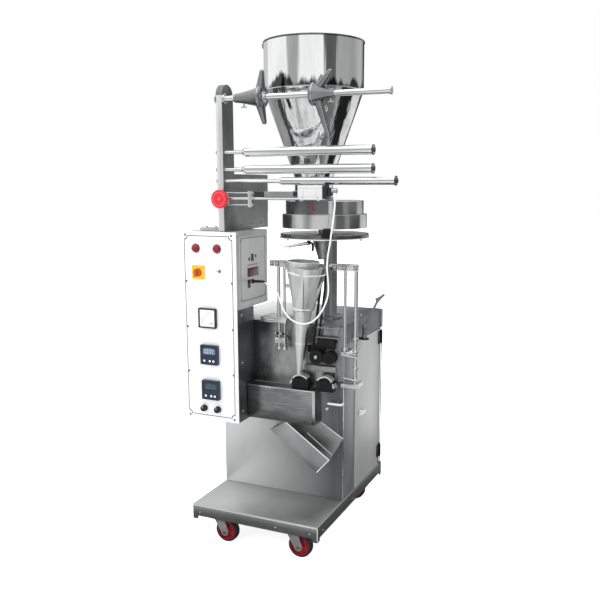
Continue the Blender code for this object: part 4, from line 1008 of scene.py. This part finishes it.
def mark_sensor():
    """Sensor box on its slide rod, with a dark bracket, a sensor head, a socket and a plug."""
    solid = "mark_sensor"
    body = NODE_BODY[solid]
    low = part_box(solid)[0]
    y, z = -0.2105, 1.229
    block((0.0645, 0.1535), (-0.213, -0.187), (1.2269, 1.2745), 0.0016)
    piece("sensor_box", "sensor_white", solid)
    for z_line in (1.236, 1.264):
        block((0.067, 0.151), (-0.2133, -0.2128), (z_line, z_line + 0.001), 0)
    for x_line in (0.086, 0.132):
        block((x_line, x_line + 0.001), (-0.2133, -0.2128), (1.2375, 1.2635), 0)
    piece("sensor_box_lines", "sensor_line", body=body)
    rod((low.x, y, z), (0.07, y, z), 0.0042)
    piece("sensor_slide_rod", "polished", body=body)
    block((-0.06, 0.064), (-0.2125, -0.2085), (1.2345, 1.2535), 0.0006)
    piece("sensor_bracket_bar", "dull_steel", body=body)
    block((0.048, 0.064), (-0.214, -0.207), (1.237, 1.2525), 0.001)
    block((0.1535, 0.17), (-0.212, -0.188), (1.23, 1.273), 0.0012)
    block((0.17, 0.183), (-0.2085, -0.19), (1.24, 1.266), 0.0012)
    piece("sensor_head_block", "case_black", body=body)
    plug = Vector(CORD_ROUTE[-1])
    turn([(0, 0.021), (0.007, 0.021), (0.0085, 0.0195), (0.0085, 0.01), (0.0095, 0.009), (0.0095, 0.004),
        (0.007, 0.003), (0, 0.003)], (0.181, plug.y, 1.256), RIGHT, 48)
    piece("sensor_socket_nut", "bright", body=body)
    turn([(0, 0.038), (0.0052, 0.038), (0.006, 0.035), (0.006, 0.015), (0.005, 0.012), (0.0044, 0.0003),
        (0, 0.0003)], plug, UP, 40)
    for i in range(4):
        ring(plug + UP * (0.002 + 0.0028 * i), UP, 0.003, 0.0052, 0.0014, 0.0003, 32)
    piece("sensor_plug_boot", "cord_white", body=body)
    for dx in (0.018, 0.072):
        pan_head((0.0645 + dx, -0.213, 1.233), FRONT, 0.0026)
    block((0.07, 0.082), (-0.208, -0.196), (1.2215, 1.227), 0.001)
    block((0.133, 0.14), (-0.208, -0.196), (1.2225, 1.227), 0.001)
    piece("sensor_fixings", "bright", body=body)


# ---------------------------------------------------------------- hopper and filler
def hopper():
    """Mirror drum and cone on a straight neck, with its lining, rim, weld beads and clamp; the drum's
    dark lower band and the rim's dark bead are painted reflections, and the cone's dark streaks partly
    are.
    """
    low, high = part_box("hopper")
    axis = upright("hopper")
    r = (high.x - low.x) / 2 - 0.0025
    top = high.z
    drum_top, shoulder, neck_top, neck = top - 0.0058, 1.602, 1.3, 0.0695
    wall = 0.0015
    outside = [(r, drum_top), (r, shoulder + 0.005), (r - 0.0004, shoulder + 0.0015)]
    inside = [(r - wall, shoulder + 0.0015), (r - wall, drum_top)]
    tube(outside + inside, axis, UP, 160)
    piece("hopper_drum", "mirror", "hopper", sharp=24)
    outside = [(r - 0.0012, shoulder - 0.0018), (neck + 0.0016, neck_top + 0.004),
        (neck, neck_top - 0.001), (neck, low.z)]
    cone_inside = [(neck - wall, low.z), (neck - wall, neck_top), (r - 0.0022 - wall, shoulder - 0.0018)]
    tube(outside + cone_inside, axis, UP, 160)
    piece("hopper_cone", "mirror_cone", "hopper", sharp=24)
    lining = [(radius - 0.0003, height) for radius, height in cone_inside + inside[1:]]
    tube(lining + [(radius - 0.0004, height) for radius, height in reversed(lining)], axis, UP, 128)
    piece("hopper_lining", "lining", sharp=24)
    # the rim bead is the drum's polished steel; its dark look is a painted reflection
    bead = arc((r + 0.0012, top - 0.003), 0.0013, 90, -90, 9, 0.003)
    tube(bead + [(r, top - 0.0062), (r - wall, top - 0.0062), (r - wall, top - 0.001)], axis, UP, 160)
    piece("hopper_rim", "rim_dark")
    ring(axis + UP * (shoulder - 0.0018), UP, r - 0.003, r + 0.0007, 0.0036, 0.0008, 160)
    ring(axis + UP * (neck_top - 0.001), UP, neck - 0.0004, neck + 0.0012, 0.003, 0.0005, 120)
    piece("hopper_weld_beads", "bright")
    degrees = 197
    edge = axis + compass(degrees, r + 0.002)
    block(span(edge.x, 0.0045), span(edge.y, 0.012), (top - 0.016, top - 0.001), 0.001,
        Matrix.Rotation(math.radians(degrees), 4, "Z"))
    piece("hopper_rim_clip", "dull_steel")
    refined("hopper_clamp", "hopper_arm", "bright", 0.0009)
    for z in (1.2308, 1.2448):
        hex_head((axis.x, axis.y - 0.0775, z), FRONT, 0.008, 0.004)
    piece("hopper_clamp_bolts", "bright")


def guard():
    """Ring and lid round the cups, with a dark front plate, a red mark and screws."""
    low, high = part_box("filler_guard")
    axis, neck = upright("filler_guard"), upright("hopper")
    r = (high.x - low.x) / 2
    tube([(r, low.z), (r, high.z - 0.0015), (r - 0.0012, high.z), (r - 0.003, high.z),
        (r - 0.0022, high.z - 0.002), (r - 0.0022, low.z)], axis, UP, 160)
    plate(circle(axis, r - 0.001, 128), [circle(neck, 0.07, 96)], high.z - 0.002, high.z - 0.0001)
    piece("guard_ring", "ring_steel", "filler_guard")
    outer, inner = r + 0.0022, r + 0.0003
    front = arc(axis, outer, -113, -62, 24) + arc(axis, inner, -62, -113, 24)
    plate(front, [], low.z + 0.001, high.z + 0.001)
    piece("guard_front_plate", "plate_dark")
    mark = axis + compass(-84, outer + 0.001)
    block(span(mark.x, 0.0022), span(mark.y, 0.0008), (low.z + 0.018, low.z + 0.04), 0.0004)
    block(span(mark.x, 0.0085), span(mark.y, 0.0008), (low.z + 0.0125, low.z + 0.018), 0.0004)
    piece("guard_level_mark", "wheel_red")
    first_screw, clear_of_neck = 11.4592, 0.08
    for i in range(8):
        place = axis + compass(first_screw + 45 * i, r - 0.01)
        if (place - neck).length > clear_of_neck:
            pan_head((place.x, place.y, high.z), UP, 0.003)
    piece("guard_screws", "bright")


def cups():
    """Dosing disc with six cups, the first over the discharge funnel."""
    solid = "cup_disc"
    low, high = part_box(solid)
    axis = upright("filler_guard")
    r = (high.x - low.x) / 2
    under = high.z - 0.006
    out = upright("discharge_funnel") - axis
    first = math.degrees(math.atan2(out.y, out.x))
    spots = [axis + compass(first + 60 * i, 0.108) for i in range(6)]
    tube([(r - 0.0008, high.z), (r, high.z - 0.0008), (r, low.z + 0.0008), (r - 0.0008, low.z),
        (r - 0.0022, low.z), (r - 0.0022, under), (r - 0.0022, high.z)], axis, UP, 160)
    tube([(0.0225, high.z - 0.001), (0.0225, low.z), (0.0126, low.z), (0.0126, high.z - 0.001)], axis, UP,
        64)
    holes = [circle(spot, 0.0235, 48) for spot in spots] + [circle(axis, 0.0128, 48)]
    plate(circle(axis, r - 0.002, 128), holes, under, high.z - 0.0003)
    piece("cup_wheel", "ring_steel", solid)
    for spot in spots:
        tube([(0.0262, under), (0.0262, low.z + 0.003), (0.0235, low.z + 0.003), (0.0235, under)], spot,
            UP, 48)
    piece("cup_sleeves", "polished", body=NODE_BODY[solid])


def filler_table():
    """Round table painted dark, its rim as painted shade, with a bright top skin and a bright ring under
    the rim as a painted highlight, on its pillar, with its bolts and stop.
    """
    solid = "filler_table"
    axis, funnel = upright("filler_guard"), upright("discharge_funnel")
    top, under, r = 1.105, 1.09, 0.1605
    hole = circle(funnel, 0.024, 48)
    # the table plate's near black, seen on its rim, is painted shade
    plate(circle(axis, r - 0.003, 144), [hole], under + 0.0006, top - 0.0006)
    tube([(r - 0.006, top), (r - 0.002, top), (r, top - 0.002), (r, under + 0.002), (r - 0.002, under),
        (r - 0.006, under)], axis, UP, 160)
    piece("table_plate", "table_dark", solid)
    plate(circle(axis, r - 0.004, 144), [hole], top - 0.0006, top)
    piece("table_top_skin", "table_top")
    # the bright ring round the rim's lower edge is a painted highlight
    tube([(r - 0.005, under + 0.0012), (r + 0.0014, under + 0.0012), (r + 0.0014, under - 0.0022),
        (r - 0.005, under - 0.0022)], axis, UP, 160)
    rod(axis + UP * (top - 0.002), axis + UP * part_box(solid)[1].z, 0.012, None, 0.001, 48)
    ring(axis + UP * top, UP, 0.012, 0.0215, 0.012, 0.0012)
    piece("table_rim_band", "satin_bright")
    pillar = Vector((0.085, 0.03, 0))
    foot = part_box("cabinet_shell")[1].z
    turn([(0.025, under), (0.025, foot + 0.014), (0.0262, foot + 0.012), (0.042, foot + 0.011),
        (0.043, foot + 0.01), (0.043, foot + 0.0004), (0, foot + 0.0004)], pillar, UP, 72)
    turn([(0.025, under - 0.012), (0.03, under - 0.01), (0.038, under)], pillar, UP, 72)
    piece("table_pillar", "dull_steel")
    for degrees in (45, 135, 225, 315):
        hex_head(pillar + compass(degrees, 0.035) + UP * (foot + 0.011), UP, 0.008, 0.004)
    for degrees in range(-128, 173, 60):
        hex_head(axis + compass(degrees, r - 0.012) + UP * (under - 0.0022), DOWN, 0.009, 0.005)
    piece("table_bolts", "dull_steel")
    block((0.134, 0.162), (-0.162, -0.1445), (top - 0.006, top + 0.023), 0.002)
    block((0.13, 0.166), (-0.164, -0.1435), (top - 0.009, top + 0.006), 0.0016)
    piece("table_stop_block", "jaw_black")


def drop_funnel():
    """Funnel under the table, and the dosing lever that reaches over it."""
    solid = "discharge_funnel"
    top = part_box(solid)[1].z
    tube([(0.0388, top), (0.04, top - 0.0006), (0.04, top - 0.003), (0.035, top - 0.0034),
        (0.0335, top - 0.006), (0.0165, 1.0265), (0.0165, 1.0204), (0.0161, 1.02), (0.015, 1.02),
        (0.015, 1.0265), (0.033, top - 0.003), (0.033, top)], upright(solid), UP, 96)
    piece("drop_funnel", "funnel_sheet", solid)
    rod((0.07, -0.137, 1.0772), (0.018, -0.148, 1.068), 0.0062, 0.005, 0.001)
    rod((0.02, -0.1476, 1.0684), (-0.017, -0.1545, 1.0618), 0.0044, 0.0026, 0.0008)
    rod((0.006, -0.1505, 1.067), (0.006, -0.1505, 1.044), 0.0026, 0.0018, 0.0005, 20)
    piece("dose_lever", "bright")
    block((0.066, 0.076), (-0.142, -0.128), (1.071, 1.0898), 0.0014)
    strap(((0.076, -0.135, 1.08), (0.084, -0.135, 1.076), (0.087, -0.135, 1.064), (0.085, -0.135, 1.05)),
        0.012, 0.004)
    piece("dose_lever_bracket", "case_black")


# ---------------------------------------------------------------- former and its frame
FORMER_TOP = Vector((0.058, -0.15, 1.016))
FORMER_LEAN = math.radians(2.68)


def former_axis():
    return Vector((math.sin(FORMER_LEAN), 0, math.cos(FORMER_LEAN)))


def wing(top, bottom, thick):
    """A flat strip that bridges the tube's front and the collar's edge between two heights."""
    made = bmesh.new()
    for height in (top, bottom):
        down = (-0.018 - height) / 0.157
        for start, end, angle in ((0.0566, 0.0316, -118), (0.0862, 0.0372, -64)):
            radius = start + (end - start) * down
            for reach in (radius, radius + thick):
                made.verts.new(compass(angle, reach) + UP * height)
    bmesh.ops.convex_hull(made, input=made.verts)
    along = UP.rotation_difference(former_axis()).to_matrix().to_4x4()
    bmesh.ops.transform(made, verts=made.verts, matrix=Matrix.Translation(FORMER_TOP) @ along)
    absorb(made)


def former():
    """Satin tube that tapers to the jaws, with two bands, its half collar, and dark strips down its right
    side that are painted shade.
    """
    wall = 0.0015
    axis = former_axis()
    shape = [(0.0, 0.056), (-0.038, 0.056), (-0.04, 0.0556), (-0.165, 0.0305), (-0.167, 0.0302),
        (-0.291, 0.0205), (-0.35, 0.0145), (-0.405, 0.008)]
    outer = [(radius, height) for height, radius in shape]
    inner = [(radius - wall, height) for height, radius in reversed(shape)]
    tube(outer + inner, FORMER_TOP, axis, 128)
    piece("former_tube", "former_sheet", "forming_tube", sharp=20)
    ring(FORMER_TOP - axis * 0.042, axis, 0.055, 0.0568, 0.0055, 0.0006, 128)
    ring(FORMER_TOP - axis * 0.0022, axis, 0.0552, 0.0568, 0.0022, 0.0005, 128)
    ring(FORMER_TOP - axis * 0.169, axis, 0.0296, 0.032, 0.006, 0.0006, 96)
    ring(FORMER_TOP - axis * 0.2925, axis, 0.02, 0.0212, 0.0026, 0.0004, 96)
    for height, radius in ((-0.04, 0.0792), (-0.164, 0.0405)):
        wing(height, height - 0.005, 0.0022)
        tube([(radius - 0.001, height), (radius + 0.001, height), (radius - 0.0006, height - 0.005),
            (radius - 0.0026, height - 0.005)], FORMER_TOP, axis, 48, 105, -65)
    piece("former_bands", "satin_bright")
    for dx, dy, radius in ((0.0015, 0.022, 0.005), (0.015, 0.03, 0.0036)):
        rod((0.118 + dx, -0.15 + dy, 0.985), (0.085 + dx, -0.15 + dy, 0.715), radius, None, 0.001)
    piece("former_side_bars", "jaw_black")
    refine("film_collar", 0.0005)
    wing(-0.018, -0.1745, 0.0012)
    tube([(0.0374, -0.1735), (0.0264, -0.244), (0.0252, -0.244), (0.0362, -0.1735)], FORMER_TOP, axis, 64,
        200, -95)
    piece("former_collar", "collar_sheet", "film_collar", sharp=40)
    # dark strips just outside the tube's right side below the collar and along the collar's right edge:
    # painted shade
    shade_strip = [(radius + 0.0032, height) for height, radius in shape[4:7]]
    back = [(radius - 0.0014, height) for radius, height in reversed(shade_strip)]
    tube(shade_strip + back, FORMER_TOP, axis, 24, 62, -10)
    edge = [(0.087, -0.018), (0.0382, -0.1745)]
    under = [(radius - 0.0012, height) for radius, height in reversed(edge)]
    tube(edge + under, FORMER_TOP, axis, 24, 46, -15)
    piece("former_shade_strips", "collar_painted_shade", sharp=40)
    for height, radius in ((-0.026, 0.057), (-0.09, 0.047)):
        centre = FORMER_TOP + axis * height
        for x in (centre.x + radius + 0.008, centre.x - radius - 0.008):
            block(span(x, 0.008), span(centre.y, 0.004), span(centre.z, 0.007), 0.001)
    piece("former_lugs", "bright")


def post_screws(face, z, radius, places):
    """Stepped screws across the top of a guide frame."""
    for x in places:
        turn([(0, 0.006), (0.003, 0.006), (0.003, 0.003), (radius - 0.0008, 0.003), (radius, 0.0022),
            (radius, 0), (0, 0)], (x, face, z), FRONT, 24)


def guide_frames():
    """Posts left and right of the former, with clamp blocks, screws and collars."""
    for side in SIDES:
        refined(f"guide_posts_{side}", "guide_frame_" + side, "bright", 0.0008)
    left, right = (-0.142, 1.002, 0.006, (-0.07, -0.0485, -0.012)), (-0.125, 0.9965, 0.0064,
        (0.164, 0.2, 0.24))
    post_screws(*left)
    block((-0.06, -0.018), (-0.144, -0.118), (0.715, 0.736), 0.0015)
    block((-0.06, -0.018), (-0.144, -0.118), (0.746, 0.756), 0.0015)
    for x in (-0.0485, -0.026):
        ring((x, -0.13, 0.69), UP, 0.004, 0.0095, 0.012, 0.001)
        turn([(0, 0.007), (0.0035, 0.007), (0.005, 0.0055), (0.005, 0), (0, 0)], (x, -0.144, 0.725),
            FRONT, 24)
    rod((-0.108, -0.138, 0.799), (-0.06, -0.144, 0.799), 0.0048, None, 0.0008)
    piece("guide_clamps_left", "bright")
    post_screws(*right)
    ring((0.149, -0.115, 0.9965), -RIGHT, 0.002, 0.011, 0.0065, 0.001)
    for z in (0.7, 0.745, 0.64, 0.6):
        ring((0.24, -0.115, z), UP, 0.007, 0.011, 0.0085, 0.001)
    ring((0.2, -0.115, 0.702), UP, 0.0055, 0.0098, 0.012, 0.001)
    for z in (0.694, 0.578):
        for x in (0.225, 0.24):
            hex_head((x, -0.127, z), FRONT, 0.008, 0.004)
    rod((0.196, -0.14, 0.693), (0.256, -0.14, 0.686), 0.0036, None, 0.0005)
    rod((0.204, -0.14, 0.611), (0.26, -0.14, 0.605), 0.0036, None, 0.0005)
    piece("guide_clamps_right", "bright")
    for face, z, _, places in (left, right):
        for x in places:
            block(span(x, 0.0072), (face - 0.001, face + 0.002), span(z, 0.0072), 0.0005)
    for x in (-0.0485, -0.026):
        block(span(x, 0.006), (-0.1452, -0.1435), span(0.7512, 0.004), 0.0004)
    piece("guide_clamp_pads", "jaw_black")


# ---------------------------------------------------------------- draw unit and jaws
def knurled(centre, front, back, radius, teeth):
    """A wheel with straight knurling."""
    outline = []
    for i in range(teeth):
        for part, depth in ((0.0, 0.0006), (0.35, 0.0), (0.65, 0.0)):
            angle = 2 * math.pi * (i + part) / teeth
            outline.append((centre[0] + (radius - depth) * math.cos(angle),
                centre[1] + (radius - depth) * math.sin(angle)))
    plate(outline, [], back, front, ON_FRONT)


def draw_unit():
    """Two knurled wheels on the roller frame, with their shafts and the bearing block."""
    refined("roller_bracket", "roller_frame", "dull_steel", 0.0008)
    block((0.064, 0.09), (-0.13, -0.119), (0.69, 0.715), 0.002)
    block((0.128, 0.13), (-0.13, -0.119), (0.7, 0.74), 0.0008)
    block((0.098, 0.166), (-0.128, -0.119), (0.708, 0.742), 0.002)
    piece("roller_bearing_block", "jaw_black")
    for side, shaft_look in (("left", "bright"), ("right", "jaw_black")):
        solid = "draw_roller_" + side
        low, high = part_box(solid)
        x, _, z = middle(solid)
        radius = (high.x - low.x) / 2
        back = -0.1195
        knurled((x, z), -0.15, -0.135, radius, 48)
        knurled((x, z), -0.128, back, radius, 48)
        turn([(radius - 0.0025, 0.1345), (radius - 0.0025, 0.1285)], (x, 0, z), FRONT, 48)
        turn([(radius * 0.62, 0.1506), (radius * 0.8, 0.15)], (x, 0, z), FRONT, 48)
        piece(f"draw_wheel_{side}", "jaw_black", solid)
        turn([(0, 0.1545), (0.0052, 0.1545), (0.0066, 0.1532), (0.007, 0.15), (0, 0.15)], (x, 0, z),
            FRONT, 40)
        rod((x, back, z), (x, high.y, z), 0.0059, None, 0.0006)
        piece(f"draw_wheel_shaft_{side}", shaft_look, body=NODE_BODY[solid])


def loft(rows):
    """A closed skin over rows that have the same number of points."""
    made = bmesh.new()
    rows = [[made.verts.new(place) for place in row] for row in rows]
    for first, second in zip(rows, rows[1:]):
        for k in range(len(first)):
            after = (k + 1) % len(first)
            made.faces.new((first[k], first[after], second[after], second[k]))
    made.faces.new(rows[0])
    made.faces.new(rows[-1][::-1])
    bmesh.ops.recalc_face_normals(made, faces=made.faces)
    absorb(made)


def tangents(path):
    """Each of a path's points, with the path's direction there."""
    ends = [path[0]] + path + [path[-1]]
    return [(place, (after - before).normalized()) for before, place, after in zip(ends, path, ends[2:])]


def sleeve(path, start_radius, end_radius, sides=20):
    """A tapered, ribbed tube round a path."""
    rows = []
    for i, (place, along) in enumerate(tangents(path)):
        spin = UP.rotation_difference(along).to_matrix()
        radius = start_radius + (end_radius - start_radius) * i / (len(path) - 1) - 0.0005 * (i % 2)
        rows.append([place + spin @ compass(360 * k / sides, radius) for k in range(sides)])
    loft(rows)


def strap(points, width, thick):
    """A flat strap that follows a path in a plane across the machine."""
    rows = []
    for place, along in tangents(smooth_path(points, 6)):
        side = Vector((0, width / 2, 0))
        lift = Vector((-along.z, 0, along.x)).normalized() * (thick / 2)
        rows.append([place + a * side + b * lift for a, b in ((-1, -1), (1, -1), (1, 1), (-1, 1))])
    loft(rows)


def jaws():
    """Heated jaws: ribbed black blocks with heater rods, and a light strap arched over each."""
    for side in SIDES:
        solid = "sealing_jaw_" + side
        low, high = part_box(solid)
        body = NODE_BODY[solid]
        refine(solid, 0.001)
        piece(f"jaw_block_{side}", "jaw_black", solid)
        for dz in (0.012, 0.026):
            for x in (low.x + 0.016, high.x - 0.016):
                rod((x, low.y + 0.0004, low.z + dz), (x, low.y - 0.0022, low.z + dz), 0.0028, None,
                    0.0005)
        piece(f"jaw_heater_ends_{side}", "jaw_black", body=body)
        y = middle(solid).y
        if side == "left":
            points = [(low.x - 0.004, y, high.z - 0.022), (low.x + 0.008, y, high.z + 0.001),
                (low.x + 0.03, y, high.z + 0.012), (high.x - 0.014, y, high.z + 0.006),
                (high.x - 0.006, y, high.z + 0.0005)]
        else:
            points = [(low.x + 0.004, y, high.z - 0.0005), (low.x + 0.018, y, high.z + 0.01),
                (low.x + 0.038, y, high.z + 0.014), (high.x - 0.01, y, high.z + 0.004),
                (high.x + 0.003, y, high.z - 0.024)]
        strap(points, 0.03, 0.0052)
        piece(f"jaw_strap_{side}", "former_sheet", body=body)
    rod((0.138, -0.12, 0.505), (0.189, -0.12, 0.505), 0.0046, None, 0.0008)
    rod((0.189, -0.12, 0.505), (0.189, -0.0984, 0.505), 0.0046, None, 0.0008)
    turn([(0, 0.01), (0.004, 0.01), (0.005, 0.009), (0.005, 0), (0, 0)], (0.129, -0.0984, 0.48), FRONT,
        32)
    piece("jaw_pull_rod", "satin_bright")


# ---------------------------------------------------------------- apron and chute
def apron():
    """The front apron, bright strips along its top edge and right end that are a painted highlight, and
    its screws.
    """
    low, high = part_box("apron")
    refined("apron_skin", "apron", "apron_sheet", 0.0012)
    # bright strips along the top edge and down the right end: a painted highlight
    block((low.x + 0.001, high.x - 0.001), (low.y - 0.0014, low.y + 0.0006),
        (high.z - 0.0052, high.z + 0.0004), 0.0007)
    block((high.x - 0.01, high.x + 0.0004), (low.y - 0.0012, low.y + 0.0006),
        (low.z + 0.001, high.z - 0.004), 0.0005)
    piece("apron_edge_highlight", "bright")
    for x in (low.x + 0.012, (low.x + high.x) / 2, high.x - 0.02):
        for z in (low.z + 0.01, high.z - 0.014):
            pan_head((x, low.y, z), FRONT, 0.0022)
    piece("apron_screws", "dull_steel")


def chute():
    """The discharge chute with its rolled edges and fold line."""
    refined("chute_skin", "discharge_chute", "chute_sheet", 0.0003)
    front = -0.1565
    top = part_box("apron")[0].z - 0.0013
    rails = (((-0.011, front, top - 0.001), (0.1876, -0.227, 0.3363)),
        ((0.1, -0.1, top - 0.001), (0.19, -0.1, 0.3735)), ((0.1876, -0.227, 0.3363),
        (0.1412, -0.227, 0.2841)),)
    for start, end in rails:
        rod(start, end, 0.0017, None, 0.0003, 20)
    piece("chute_rolled_edge", "satin_bright")
    rod((0.0744, -0.16, 0.3993), (0.171, -0.16, 0.3297), 0.0014, None, 0.0003, 12)
    piece("chute_fold_line", "former_sheet")


# ---------------------------------------------------------------- drive
def drive():
    """Finned motor, gearbox, belt, pulley and cam shaft."""
    low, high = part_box("drive_motor")
    x, z = -0.17, 0.205
    refine("drive_motor", 0.0015)
    for degrees in range(-30, 220, 10):
        place = Vector((x, 0.155, z)) + spoke(degrees, 0.0615)
        block(span(place.x, 0.003), (0.095, 0.215), span(place.z, 0.0009), 0.0004,
            Matrix.Rotation(math.radians(-degrees), 4, "Y"))
    turn([(0, 0.01), (0.05, 0.01), (0.06, 0.0), (0.06, -0.002), (0, -0.002)], (x, high.y, z), -FRONT, 64)
    block(span(x, 0.03), (0.11, 0.18), (z + 0.055, z + 0.088), 0.004)
    piece("motor_casing", "drive_paint", "drive_motor")
    refine("gearbox", 0.002)
    piece("gearbox_casing", "drive_paint", "gearbox")
    gear_low, gear_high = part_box("gearbox")
    for dx in (-0.065, 0.065):
        for dz in (-0.06, 0.06):
            hex_head((0.03 + dx, gear_low.y, 0.36 + dz), FRONT, 0.01, 0.005)
            hex_head((0.03 + dx, gear_high.y, 0.36 + dz), -FRONT, 0.01, 0.005)
    for dx in (-0.045, 0.045):
        for y in (0.1, 0.21):
            hex_head((x + dx, y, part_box("base_tray")[1].z + 0.0395), UP, 0.009, 0.004)
    piece("drive_bolts", "dull_steel")
    refined("v_belt", "drive_belt", "belt", 0.0008)
    for solid, name, centre, radius, hub in (("motor_pulley", "small_pulley", (x, z), 0.03, 0.012),
        ("main_shaft", "cam_shaft", (0.03, 0.36), 0.07, 0.014)):
        low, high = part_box(solid)
        near, far = 0.02, 0.045
        profile = [(0, low.y), (hub - 0.001, low.y), (hub, low.y + 0.001)]
        if solid == "main_shaft":
            profile += [(hub, -0.06), (0.0372, -0.06), (0.038, -0.0592), (0.038, -0.0408),
                (0.0372, -0.04), (hub, -0.04)]
        profile += [(hub, near), (radius - 0.0012, near), (radius, near + 0.0012), (radius, far - 0.0012),
            (radius - 0.0012, far), (hub, far), (hub, high.y), (0, high.y)]
        turn(profile, (centre[0], 0, centre[1]), -FRONT, 80)
        piece(name, "dull_steel", solid)


# ---------------------------------------------------------------- stage
def azimuth_ramp(tree, direction, bands):
    """Grey by compass direction round the machine, from (degrees, level) pairs; and the height."""
    turned = node(tree, "Mapping", {"Vector": direction, "Rotation": (0, 0, math.radians(-VIEW_AZIMUTH))})
    split = node(tree, "SeparateXYZ", {0: turned.outputs[0]}).outputs
    angle = node(tree, "Math", {0: split["Y"], 1: split["X"]}, operation="ARCTAN2").outputs[0]
    share = node(tree, "MapRange", {"Value": angle, "From Min": -math.pi, "From Max": math.pi})
    ramp = node(tree, "ValToRGB", {"Fac": share.outputs[0]})
    elements = ramp.color_ramp.elements
    elements.remove(elements[-1])
    for i, (degrees, level) in enumerate(bands):
        spot = (degrees + 180) / 360
        element = elements[0] if i == 0 else elements.new(spot)
        element.position = spot
        element.color = (level, level, level, 1)
    return ramp.outputs["Color"], split["Z"]


def stage():
    """White floor, which metal sees as soft light and grey bands."""
    data = bpy.data.meshes.new("floor")
    grid = bmesh.new()
    bmesh.ops.create_grid(grid, x_segments=1, y_segments=1, size=30.0)
    grid.to_mesh(data)
    grid.free()
    floor = bpy.data.objects.new("floor", data)
    bpy.context.scene.collection.objects.link(floor)
    matt = bpy.data.materials.new("floor_white")
    matt.use_nodes = True
    tree = matt.node_tree
    path = node(tree, "LightPath").outputs
    glow = node(tree, "MapRange", {"Value": path["Is Camera Ray"], "To Min": FLOOR_GLOW,
        "To Max": FLOOR_GLOW_SEEN}).outputs["Result"]
    shader = tree.nodes["Principled BSDF"]
    feed(tree, shader, {"Base Color": (0.95, 0.95, 0.95, 1), "Roughness": 0.9, "Specular IOR Level": 0.0,
        "Emission Color": (1, 1, 1, 1), "Emission Strength": glow})
    where = node(tree, "TexCoord").outputs["Object"]
    radius = node(tree, "VectorMath", {0: where}, operation="LENGTH").outputs["Value"]
    start, end, level = NEAR_DARK
    near = node(tree, "MapRange", {"Value": radius, "From Min": start, "From Max": end,
        "To Min": level}).outputs["Result"]
    grey, _ = azimuth_ramp(tree, where, FLOOR_BANDS)
    seen = node(tree, "Emission", {"Strength": near, "Color": grey})
    mix = node(tree, "MixShader", {"Fac": path["Is Glossy Ray"], 1: shader.outputs[0],
        2: seen.outputs[0]})
    feed(tree, tree.nodes["Material Output"], {"Surface": mix.outputs[0]})
    data.materials.append(matt)


FLOOR_GLOW = 0.22                # the floor's own light on the machine
FLOOR_GLOW_SEEN = 0.8            # the same to the camera, which washes out the shadow
FLOOR_BANDS = (                  # what the lower half of the machine and the cone reflect
    (-180, 0.62), (-165, 0.62), (-150, 0.36), (-90, 0.38), (-80, 0.92), (-62, 1.0), (-52, 0.62),
    (-44, 0.52), (-34, 0.98), (22, 0.98), (30, 0.2), (54, 0.24), (60, 0.5), (67, 0.45), (72, 0.02),
    (106, 0.02), (112, 1.0), (148, 1.0), (154, 0.15), (180, 0.4),
)
NEAR_DARK = (0.85, 1.15, 0.02)   # radius where the floor's reflection starts, ends, and its level
BANDS = (                        # azimuth right of the view's own direction in degrees, brightness
    (-180, 0.6), (-132, 0.62), (-122, 1.0), (-64, 1.0), (-57, 0.42), (-38, 0.38), (-30, 0.98),
    (20, 1.0), (27, 0.1), (50, 0.12), (57, 0.4), (100, 0.34), (132, 0.5), (146, 0.3),
    (151, 0.02), (172, 0.02), (180, 0.6),
)
CEILING = (1.45, 1.45, 1.45, 1)
VIEW_AZIMUTH = -66.4             # direction from the machine to the camera, from +X


def studio():
    """White to the camera; metal sees upright bands of light and dark, and a pale ceiling."""
    world = bpy.data.worlds.new("studio")
    bpy.context.scene.world = world
    world.use_nodes = True
    tree = world.node_tree
    tree.nodes.clear()
    grey, height = azimuth_ramp(tree, node(tree, "TexCoord").outputs["Generated"], BANDS)
    rise = node(tree, "MapRange", {"Value": height, "From Min": 0.35, "From Max": 0.6})
    seen = node(tree, "Mix", {"Factor": rise.outputs[0], "A": grey, "B": CEILING}, data_type="RGBA")
    bands = node(tree, "Background", {"Color": seen.outputs["Result"], "Strength": 1.0})
    white = node(tree, "Background", {"Color": (1, 1, 1, 1), "Strength": 1.0})
    to_camera = node(tree, "LightPath").outputs["Is Camera Ray"]
    choose = node(tree, "MixShader", {"Fac": to_camera, 1: bands.outputs[0], 2: white.outputs[0]})
    node(tree, "OutputWorld", {"Surface": choose.outputs[0]})
    view = bpy.context.scene.view_settings
    view.view_transform = "Standard"
    view.look = "None"


def light(name, place, aim, size, power):
    """An area light that metal doesn't mirror."""
    data = bpy.data.lights.new(name, "AREA")
    data.shape = "RECTANGLE"
    data.size, data.size_y = size
    data.energy = power
    made = bpy.data.objects.new(name, data)
    made.location = place
    made.rotation_euler = (Vector(aim) - Vector(place)).to_track_quat("-Z", "Y").to_euler()
    made.visible_glossy = False
    bpy.context.scene.collection.objects.link(made)


def lights():
    light("key", (-1.6, -3.2, 2.6), (0, -0.1, 0.9), (1.8, 2.4), 34)
    light("top", (0.2, -0.6, 4.2), (0, 0, 0.9), (3.0, 3.0), 12)
    light("back", (-1.5, 3.0, 2.4), (0, 0, 0.9), (2.0, 2.0), 35)


# ---------------------------------------------------------------- build
camera()
make_looks()
sensor_cord()
tray()
for caster_name in sorted({node[:-5] for node in frame["nodes"] if node.endswith("_fork")}):
    caster(caster_name)
cabinet()
door()
clutch()
control_box()
lamps()
isolator()
toggle()
speed_knobs()
ammeter()
controllers()
counter()
housing_details()
column()
film_rollers()
reel()
sensor_slide()
mark_sensor()
hopper()
guard()
cups()
filler_table()
drop_funnel()
former()
guide_frames()
draw_unit()
jaws()
apron()
chute()
drive()
stage()
studio()
lights()
